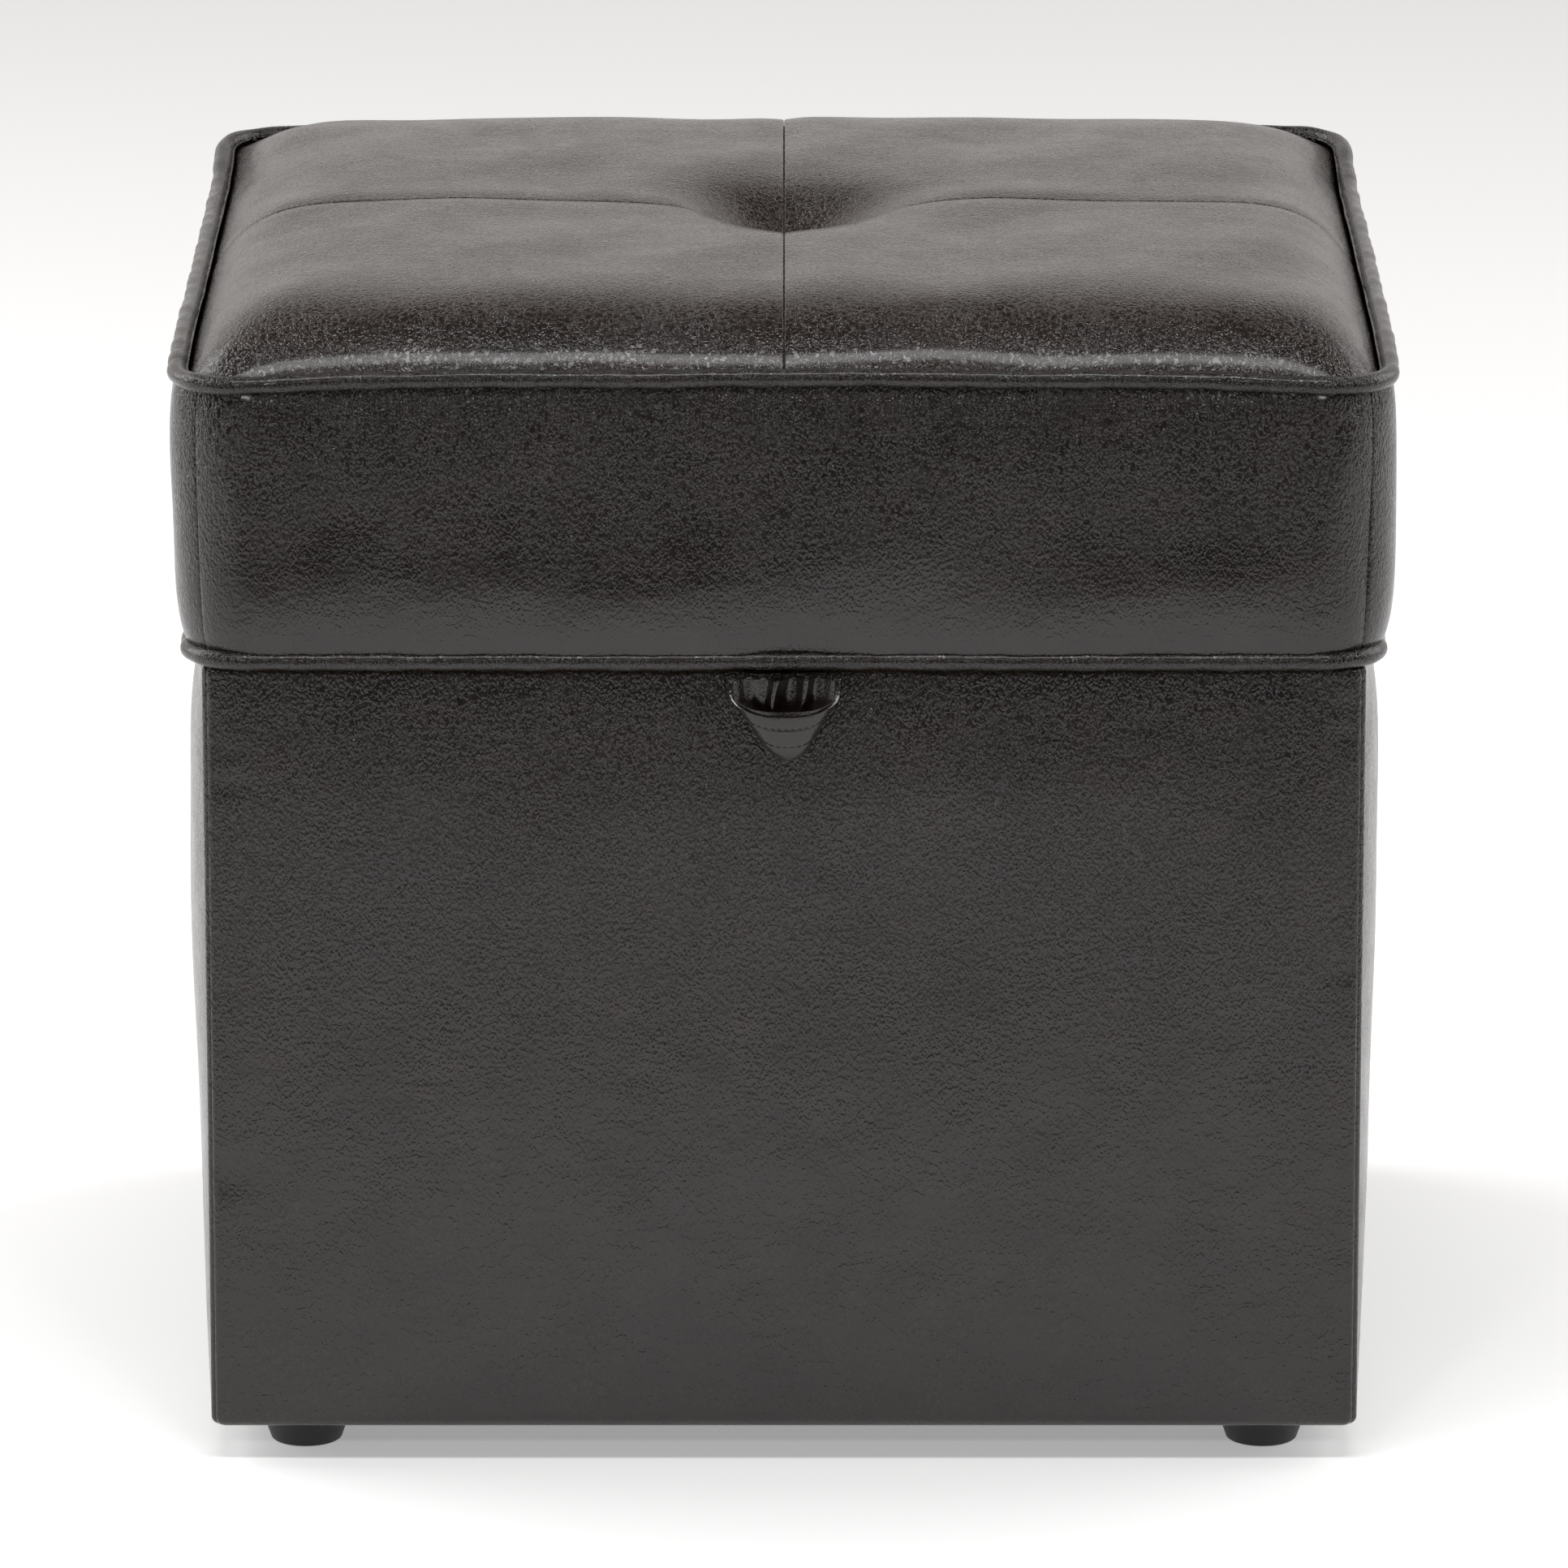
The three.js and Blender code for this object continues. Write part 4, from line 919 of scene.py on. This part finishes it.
class Nodes:
    """A node tree, with short calls for the nodes used here."""

    def __init__(self, tree):
        self.tree = tree
        tree.nodes.clear()

    def add(self, kind, inputs, **settings):
        """A new node; each of its inputs gets a value or a link, by name or number."""
        made = self.tree.nodes.new(kind)
        for key, value in settings.items():
            setattr(made, key, value)
        for socket, value in inputs.items():
            if isinstance(value, bpy.types.NodeSocket):
                self.tree.links.new(value, made.inputs[socket])
            else:
                made.inputs[socket].default_value = value
        return made

    def span(self, value, from_low, from_high, to_low=0.0, to_high=1.0):
        numbers = {0: value, 1: from_low, 2: from_high, 3: to_low, 4: to_high}
        return self.add("ShaderNodeMapRange", numbers, interpolation_type="SMOOTHSTEP").outputs[0]

    def math(self, operation, a, b):
        return self.add("ShaderNodeMath", {0: a, 1: b}, operation=operation).outputs[0]

    def mix(self, share, a, b):
        a, b = ((*colour, 1.0) if isinstance(colour, tuple) else colour for colour in (a, b))
        inputs = {"Factor": share, "A": a, "B": b}
        return self.add("ShaderNodeMix", inputs, data_type="RGBA").outputs["Result"]

    def blend(self, share, a, b):
        return self.add("ShaderNodeMix", {"Factor": share, "A": a, "B": b}).outputs["Result"]


class Shader(Nodes):
    """The nodes of a material, ending in one Principled surface."""

    def __init__(self, name):
        self.material = bpy.data.materials.new(name)
        self.material.use_nodes = True
        super().__init__(self.material.node_tree)
        self.place = self.add("ShaderNodeTexCoord", {}).outputs["Object"]

    def noise(self, size, detail=3.0, rough=0.5, warp=0.0, place=None):
        inputs = {"Vector": place or self.place, "Scale": 1.0 / size, "Detail": detail,
                  "Roughness": rough, "Distortion": warp}
        return self.add("ShaderNodeTexNoise", inputs).outputs["Fac"]

    def cells(self, size, feature="F1", place=None, randomness=1.0):
        inputs = {"Vector": place or self.place, "Scale": 1.0 / size, "Randomness": randomness}
        return self.add("ShaderNodeTexVoronoi", inputs, feature=feature).outputs["Distance"]

    def scaled(self, x, y, z, place=None):
        inputs = {"Vector": place or self.place, "Scale": (x, y, z)}
        return self.add("ShaderNodeMapping", inputs).outputs[0]

    def vector(self, operation, inputs):
        return self.add("ShaderNodeVectorMath", inputs, operation=operation).outputs[0]

    def warped(self, amount, size):
        """The place moved about by noise, by up to `amount` metres over `size` metres."""
        noise = self.add("ShaderNodeTexNoise", {"Vector": self.place, "Scale": 1.0 / size})
        centred = self.vector("SUBTRACT", {0: noise.outputs["Color"], 1: (0.5, 0.5, 0.5)})
        moved = self.vector("SCALE", {0: centred, "Scale": 2 * amount})
        return self.vector("ADD", {0: self.place, 1: moved})

    def bump(self, height, distance, before=None):
        inputs = {"Height": height, "Distance": distance}
        if before is not None:
            inputs["Normal"] = before
        return self.add("ShaderNodeBump", inputs).outputs[0]

    def finish(self, colour, roughness, normal=None, **constants):
        inputs = {"Base Color": colour, "Roughness": roughness}
        if normal is not None:
            inputs["Normal"] = normal
        inputs.update({key.replace("_", " "): value for key, value in constants.items()})
        surface = self.add("ShaderNodeBsdfPrincipled", inputs)
        self.add("ShaderNodeOutputMaterial", {"Surface": surface.outputs[0]})
        return self.material


FADED = 0.22  # what is left of the grain where it is stretched


def grain_relief(s, dome, folds, calm):
    """Height of the grain; calm gives the heights between which it fades, if it does."""
    relief = s.math("ADD", dome, s.math("MULTIPLY", folds, 0.55))
    relief = s.math("MULTIPLY", relief, s.span(s.noise(30 * MM, 3.0, 0.6), 0.3, 0.65, 0.55, 1.0))
    if not calm:
        return relief
    height = s.add("ShaderNodeSeparateXYZ", {0: s.place}).outputs["Z"]
    ragged = s.math("ADD", height, s.span(s.noise(40 * MM, 4.0, 0.65), 0.2, 0.8, -0.02, 0.02))
    return s.math("MULTIPLY", relief, s.span(ragged, *calm, FADED, 1.0))


def vein_relief(s):
    """Fine veins in patches."""
    vein = s.span(s.cells(13 * MM, "DISTANCE_TO_EDGE", s.warped(7 * MM, 22 * MM)), 0.0, 0.045)
    patches = s.span(s.noise(75 * MM, 3.0, 0.6), 0.46, 0.64)
    return s.math("MULTIPLY", s.math("SUBTRACT", 1.0, vein), patches)


def leather(name, gloss, grain, depth, streaks, veins=0.05 * MM, calm=None, tones=None):
    """Coated leather: domed pebble grain with painted shade in its hollows, fine veins in patches,
    long soft wrinkles, worn gloss.
    """
    s = Shader(name)
    dark, light = tones or (DARK, LIGHT)
    wander = s.scaled(1.25, 1.25, 0.72, s.warped(0.5 * grain, 1.5 * grain))
    dome = s.span(s.cells(grain, "F1", wander), 0.08, 0.72, 1.0, 0.0)
    folds = s.span(s.cells(2.7 * grain, "DISTANCE_TO_EDGE", wander), 0.0, 0.12)
    long_place = s.scaled(*streaks)
    normal = s.bump(s.noise(55 * MM, 2.0, 0.5, 0.3), 1.2 * MM)
    normal = s.bump(s.noise(9 * MM, 4.0, 0.62, 0.6, long_place), 0.30 * MM, normal)
    normal = s.bump(vein_relief(s), -veins, normal)
    normal = s.bump(grain_relief(s, dome, folds, calm), depth * grain, normal)
    normal = s.bump(s.noise(0.35 * MM, 2.0, 0.6), 0.010 * MM, normal)
    mottled = s.span(s.noise(28 * MM, 5.0, 0.65, 0.4, long_place), 0.32, 0.70)
    colour = s.mix(mottled, dark, light)
    # Painted shade: the colour is darkened in the grain's hollows and along its folds, which are also
    # made rougher.
    deep = s.math("MULTIPLY", dome, folds)
    colour = s.mix(s.span(deep, 0.0, 0.5, 0.5, 1.0), tuple(0.4 * c for c in dark), colour)
    worn = s.span(s.noise(18 * MM, 4.0, 0.6), 0.3, 0.7, gloss - 0.04, gloss + 0.06)
    rough = s.math("ADD", worn, s.span(deep, 0.0, 0.5, 0.08, 0.0))
    return s.finish(colour, rough, normal, Specular_IOR_Level=0.5, IOR=1.5,
                    Coat_Weight=0.22, Coat_Roughness=0.12)


def thread(name, colour):
    s = Shader(name)
    twist = s.noise(0.25 * MM, 2.0, 0.6)
    tone = s.mix(twist, tuple(0.6 * c for c in colour), colour)
    return s.finish(tone, s.span(twist, 0.2, 0.8, 0.45, 0.7), s.bump(twist, 0.06 * MM),
                    Sheen_Weight=0.2, Sheen_Roughness=0.5)


def fabric(name, dark, light, cell):
    """Non-woven lining: bonded dots over matted fibres."""
    s = Shader(name)
    fibres = s.noise(0.5 * MM, 5.0, 0.7, 1.2)
    dots = s.span(s.cells(cell, "F1", None, 0.12), 0.18, 0.42)
    cloud = s.noise(24 * MM, 3.0, 0.6)
    height = s.math("ADD", s.math("MULTIPLY", fibres, 0.5), dots)
    share = s.math("MULTIPLY", s.span(fibres, 0.3, 0.7), s.span(cloud, 0.2, 0.8, 0.6, 1.0))
    tone = s.mix(share, dark, light)
    tone = s.mix(s.math("SUBTRACT", 1.0, dots), tone, tuple(0.6 * c for c in dark))
    return s.finish(tone, s.span(fibres, 0.2, 0.8, 0.78, 0.95), s.bump(height, 0.12 * MM),
                    Sheen_Weight=0.25, Sheen_Roughness=0.6)


def wood(name):
    """Raw plywood and particle board behind the covers."""
    s = Shader(name)
    along = s.scaled(1.0, 1.0, 0.12)
    rings = s.noise(5 * MM, 5.0, 0.65, 1.6, along)
    fibre = s.noise(0.7 * MM, 3.0, 0.6, 0.2, along)
    tone = s.mix(s.span(rings, 0.3, 0.7), (0.42, 0.27, 0.14), (0.62, 0.44, 0.26))
    tone = s.mix(s.span(fibre, 0.45, 0.8, 0.0, 0.4), tone, (0.30, 0.18, 0.09))
    return s.finish(tone, s.span(fibre, 0.2, 0.8, 0.6, 0.8), s.bump(fibre, 0.15 * MM))


def steel(name, tint, rough):
    s = Shader(name)
    brushed = s.noise(0.5 * MM, 4.0, 0.7, 0.0, s.scaled(0.06, 1.0, 1.0))
    stain = s.noise(6 * MM, 3.0, 0.6)
    tone = s.mix(s.span(stain, 0.35, 0.7), tint, tuple(0.72 * c for c in tint))
    return s.finish(tone, s.span(brushed, 0.2, 0.8, rough - 0.08, rough + 0.14),
                    s.bump(brushed, 0.03 * MM), Metallic=1.0)


def plastic(name):
    s = Shader(name)
    grain = s.noise(0.6 * MM, 3.0, 0.55)
    scuff = s.noise(7 * MM, 4.0, 0.7, 0.8)
    tone = s.mix(s.span(scuff, 0.55, 0.8), (0.011, 0.011, 0.012), (0.030, 0.029, 0.028))
    return s.finish(tone, s.span(grain, 0.2, 0.8, 0.42, 0.58), s.bump(grain, 0.06 * MM))


def foam(name):
    s = Shader(name)
    pores = s.cells(1.1 * MM, "F1", s.warped(0.4 * MM, 2 * MM))
    cloud = s.noise(40 * MM, 3.0, 0.6)
    # Painted shade: the pores, which the bump sinks in, are painted darker than the foam round them.
    tone = s.mix(s.span(pores, 0.1, 0.6), (0.16, 0.15, 0.13), (0.40, 0.38, 0.33))
    tone = s.mix(s.span(cloud, 0.4, 0.8, 0.0, 0.4), tone, (0.30, 0.27, 0.20))
    return s.finish(tone, s.span(pores, 0.0, 0.6, 0.95, 0.82), s.bump(pores, 0.4 * MM))


def floor_finish():
    s = Shader("floor_pale")
    soft = s.noise(0.9, 3.0, 0.5)
    tone = s.mix(soft, (0.93, 0.93, 0.93), (0.96, 0.96, 0.96))
    return s.finish(tone, s.span(soft, 0.2, 0.8, 0.85, 0.95), Specular_IOR_Level=0.1,
                    Emission_Color=(1, 1, 1, 1), Emission_Strength=0.31)


DARK = (0.0090, 0.0056, 0.0047)
LIGHT = (0.0190, 0.0118, 0.0098)
SEAT_TONES = ((0.0122, 0.0057, 0.0038), (0.0265, 0.0129, 0.0088))
UPRIGHT = (0.8, 0.8, 1.25)  # wrinkles on the faces run slightly level
BASE_LEATHER = leather("leather_base", 0.165, 1.4 * MM, 0.34, UPRIGHT, calm=(0.12, 0.25))
BAND_LEATHER = leather("leather_band", 0.165, 1.4 * MM, 0.34, UPRIGHT, calm=(0.33, 0.395))
SEAT_LEATHER = leather("leather_seat", 0.20, 1.6 * MM, 0.22, (0.36, 1.6, 1.0), 0.14 * MM,
                       tones=SEAT_TONES)
PIPING_LEATHER = leather("leather_piping", 0.14, 0.9 * MM, 0.26, (1.4, 1.4, 1.4))
TAB_LEATHER = leather("leather_tab", 0.13, 1.0 * MM, 0.05, (1.0, 1.0, 1.0))
THREAD = thread("thread_brown", (0.070, 0.050, 0.042))
DARK_THREAD = thread("thread_dark", (0.020, 0.014, 0.012))
LINER = fabric("liner_black", (0.010, 0.010, 0.011), (0.032, 0.031, 0.031), 2.2 * MM)
WOOD = wood("wood_board")
ZINC = steel("steel_zinc", (0.62, 0.62, 0.60), 0.34)
STAPLE = steel("steel_staple", (0.50, 0.50, 0.50), 0.30)
PLASTIC = plastic("plastic_black")
FOAM = foam("foam_grey")
CORD = thread("cord_nylon", (0.55, 0.53, 0.48))

CAD_FINISHES = {
    "_board": WOOD, "corner_post": WOOD, "base_foam": FOAM, "hinge_": ZINC, "foot_screw": ZINC,
    "tuft_washer": ZINC, "tuft_cord": CORD, "pull_tab_anchor": TAB_LEATHER,
}


BEVELS = {"hinge": 0.15 * MM, "foot": 0.1 * MM, "tuft": 0.2 * MM}  # by the first word of a name
OTHER_BEVEL = 0.6 * MM


def dress_cad_nodes():
    """The CAD pieces that stay get their finish, and small bevels on the hard edges."""
    for name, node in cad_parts.items():
        for part, finish in CAD_FINISHES.items():
            if part in name and not node.hide_render:
                node.data.materials.clear()
                node.data.materials.append(finish)
                if finish not in (FOAM, CORD):
                    bevel = node.modifiers.new("edge", "BEVEL")
                    bevel.width = BEVELS.get(name.split("_")[0], OTHER_BEVEL)
                    bevel.segments, bevel.limit_method = 2, "ANGLE"


# ---- stage ----

CAMERA_AIM = (0.0, -0.190, 0.2634)
CAMERA_FAR = 4.226
CAMERA_DOWN = math.radians(14.45)


def camera():
    data = bpy.data.cameras.new("camera")
    data.lens, data.sensor_width, data.clip_end = 258, 36, 60
    made = bpy.data.objects.new("camera", data)
    bpy.context.collection.objects.link(made)
    made.location = (CAMERA_AIM[0], CAMERA_AIM[1] - CAMERA_FAR * math.cos(CAMERA_DOWN),
                     CAMERA_AIM[2] + CAMERA_FAR * math.sin(CAMERA_DOWN))
    made.rotation_euler = (math.pi / 2 - CAMERA_DOWN, 0, 0)
    bpy.context.scene.camera = made


def softbox(name, place, aim, size, power):
    data = bpy.data.lights.new(name, "AREA")
    data.shape, data.energy = "RECTANGLE", power
    data.size, data.size_y = size
    made = bpy.data.objects.new(name, data)
    bpy.context.collection.objects.link(made)
    made.location = place
    made.visible_camera = False
    direction = np.array(aim, float) - np.array(place, float)
    flat = math.hypot(direction[0], direction[1])
    made.rotation_euler = (math.atan2(flat, -direction[2]), 0,
                           math.atan2(direction[1], direction[0]) - math.pi / 2)


WORLD_FRONT = 0.05
WORLD_BACK = 0.86
WORLD_TOP = 0.10
WORLD_WARMTH = (1.0, 0.955, 0.93)


def surroundings():
    """A white studio that is brighter behind and beside the object than over the camera."""
    world = bpy.data.worlds.new("studio")
    bpy.context.scene.world = world
    world.use_nodes = True
    s = Nodes(world.node_tree)
    place = s.add("ShaderNodeTexCoord", {}).outputs["Generated"]
    axes = s.add("ShaderNodeSeparateXYZ", {0: place}).outputs
    behind = s.span(axes["Y"], -0.5, 0.5, WORLD_FRONT, WORLD_BACK)
    lit = s.blend(s.span(axes["Z"], 0.45, 0.85), behind, WORLD_TOP)
    seen = s.add("ShaderNodeLightPath", {}).outputs["Is Camera Ray"]
    light = s.add("ShaderNodeBackground", {
        "Strength": s.blend(seen, lit, 1.0), "Color": s.mix(seen, WORLD_WARMTH, (1.0, 1.0, 1.0))})
    s.add("ShaderNodeOutputWorld", {"Surface": light.outputs[0]})


def floor():
    half, front = 14.0, -1.25
    mesh = bpy.data.meshes.new("floor")
    mesh.from_pydata([(-half, front, 0), (half, front, 0), (half, half, 0), (-half, half, 0)],
                     [], [(0, 1, 2, 3)])
    mesh.materials.append(floor_finish())
    made = bpy.data.objects.new("floor", mesh)
    bpy.context.collection.objects.link(made)


# ---- assembly ----

camera()
surroundings()
floor()
for end, name, power in ((-1, "left", 40), (1, "right", 27)):
    softbox(f"key_{name}", (end * 0.95, -3.3, 1.75), (0, 0, 0.3), (0.35, 0.3), 11)
    softbox(f"side_{name}", (end * 2.3, 0.9, 1.5), (end * 0.7, 0.7, 0.0), (1.8, 2.0), power)
softbox("front_sweep", (0, -1.0, 2.2), (0, -0.6, 0), (1.6, 0.3), 22)

for side in SIDES:
    base_cover(side, BASE_LEATHER)
    lid_band(side, BAND_LEATHER)
    for end in (-1, 1):
        band_stitches(side, end, THREAD)
for quadrant in QUADRANTS:
    seat_panel(quadrant, SEAT_LEATHER)
seat_foam(FOAM)
piping("lower_piping", LOWER_X, LOWER_Y, LOWER_Z, LOWER_CORNER, LOWER_R, False, 0.25 * MM,
       PIPING_LEATHER)
piping("upper_piping", UPPER_X, UPPER_Y, UPPER_Z, UPPER_CORNER, UPPER_R, True, 0.55 * MM,
       PIPING_LEATHER)
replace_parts(tab_layer("pull_tab_outer", 0.0, 0.0, TAB_TIP_Z, TAB_LEATHER), "pull_tab")
tab_layer("pull_tab_inner", 1.7 * MM, 1.0 * MM, TAB_HIGH[2] - TAB_DROOP - 4 * MM, TAB_LEATHER)
tab_folds(TAB_LEATHER)
for row in STITCH_ROWS:
    tab_stitches(row, DARK_THREAD)
liner_walls(LINER)
liner_floor(LINER)
stapled_sheet("lid_lining", 18 * MM, lining_holes(), SEED + 31, LINER, "lid")
stapled_sheet("dust_cover", 6 * MM, [], SEED + 32, LINER, "base")
staples("lid_lining", 7 * MM, 14 * MM, 38 * MM, near_tab_or_hinge, "lid")
staples("dust_cover", 6 * MM, 5 * MM, 42 * MM, near_foot, "base")
for corner in QUADRANTS:
    foot(corner, PLASTIC)
dress_cad_nodes()

bpy.context.scene.view_settings.view_transform = "Standard"
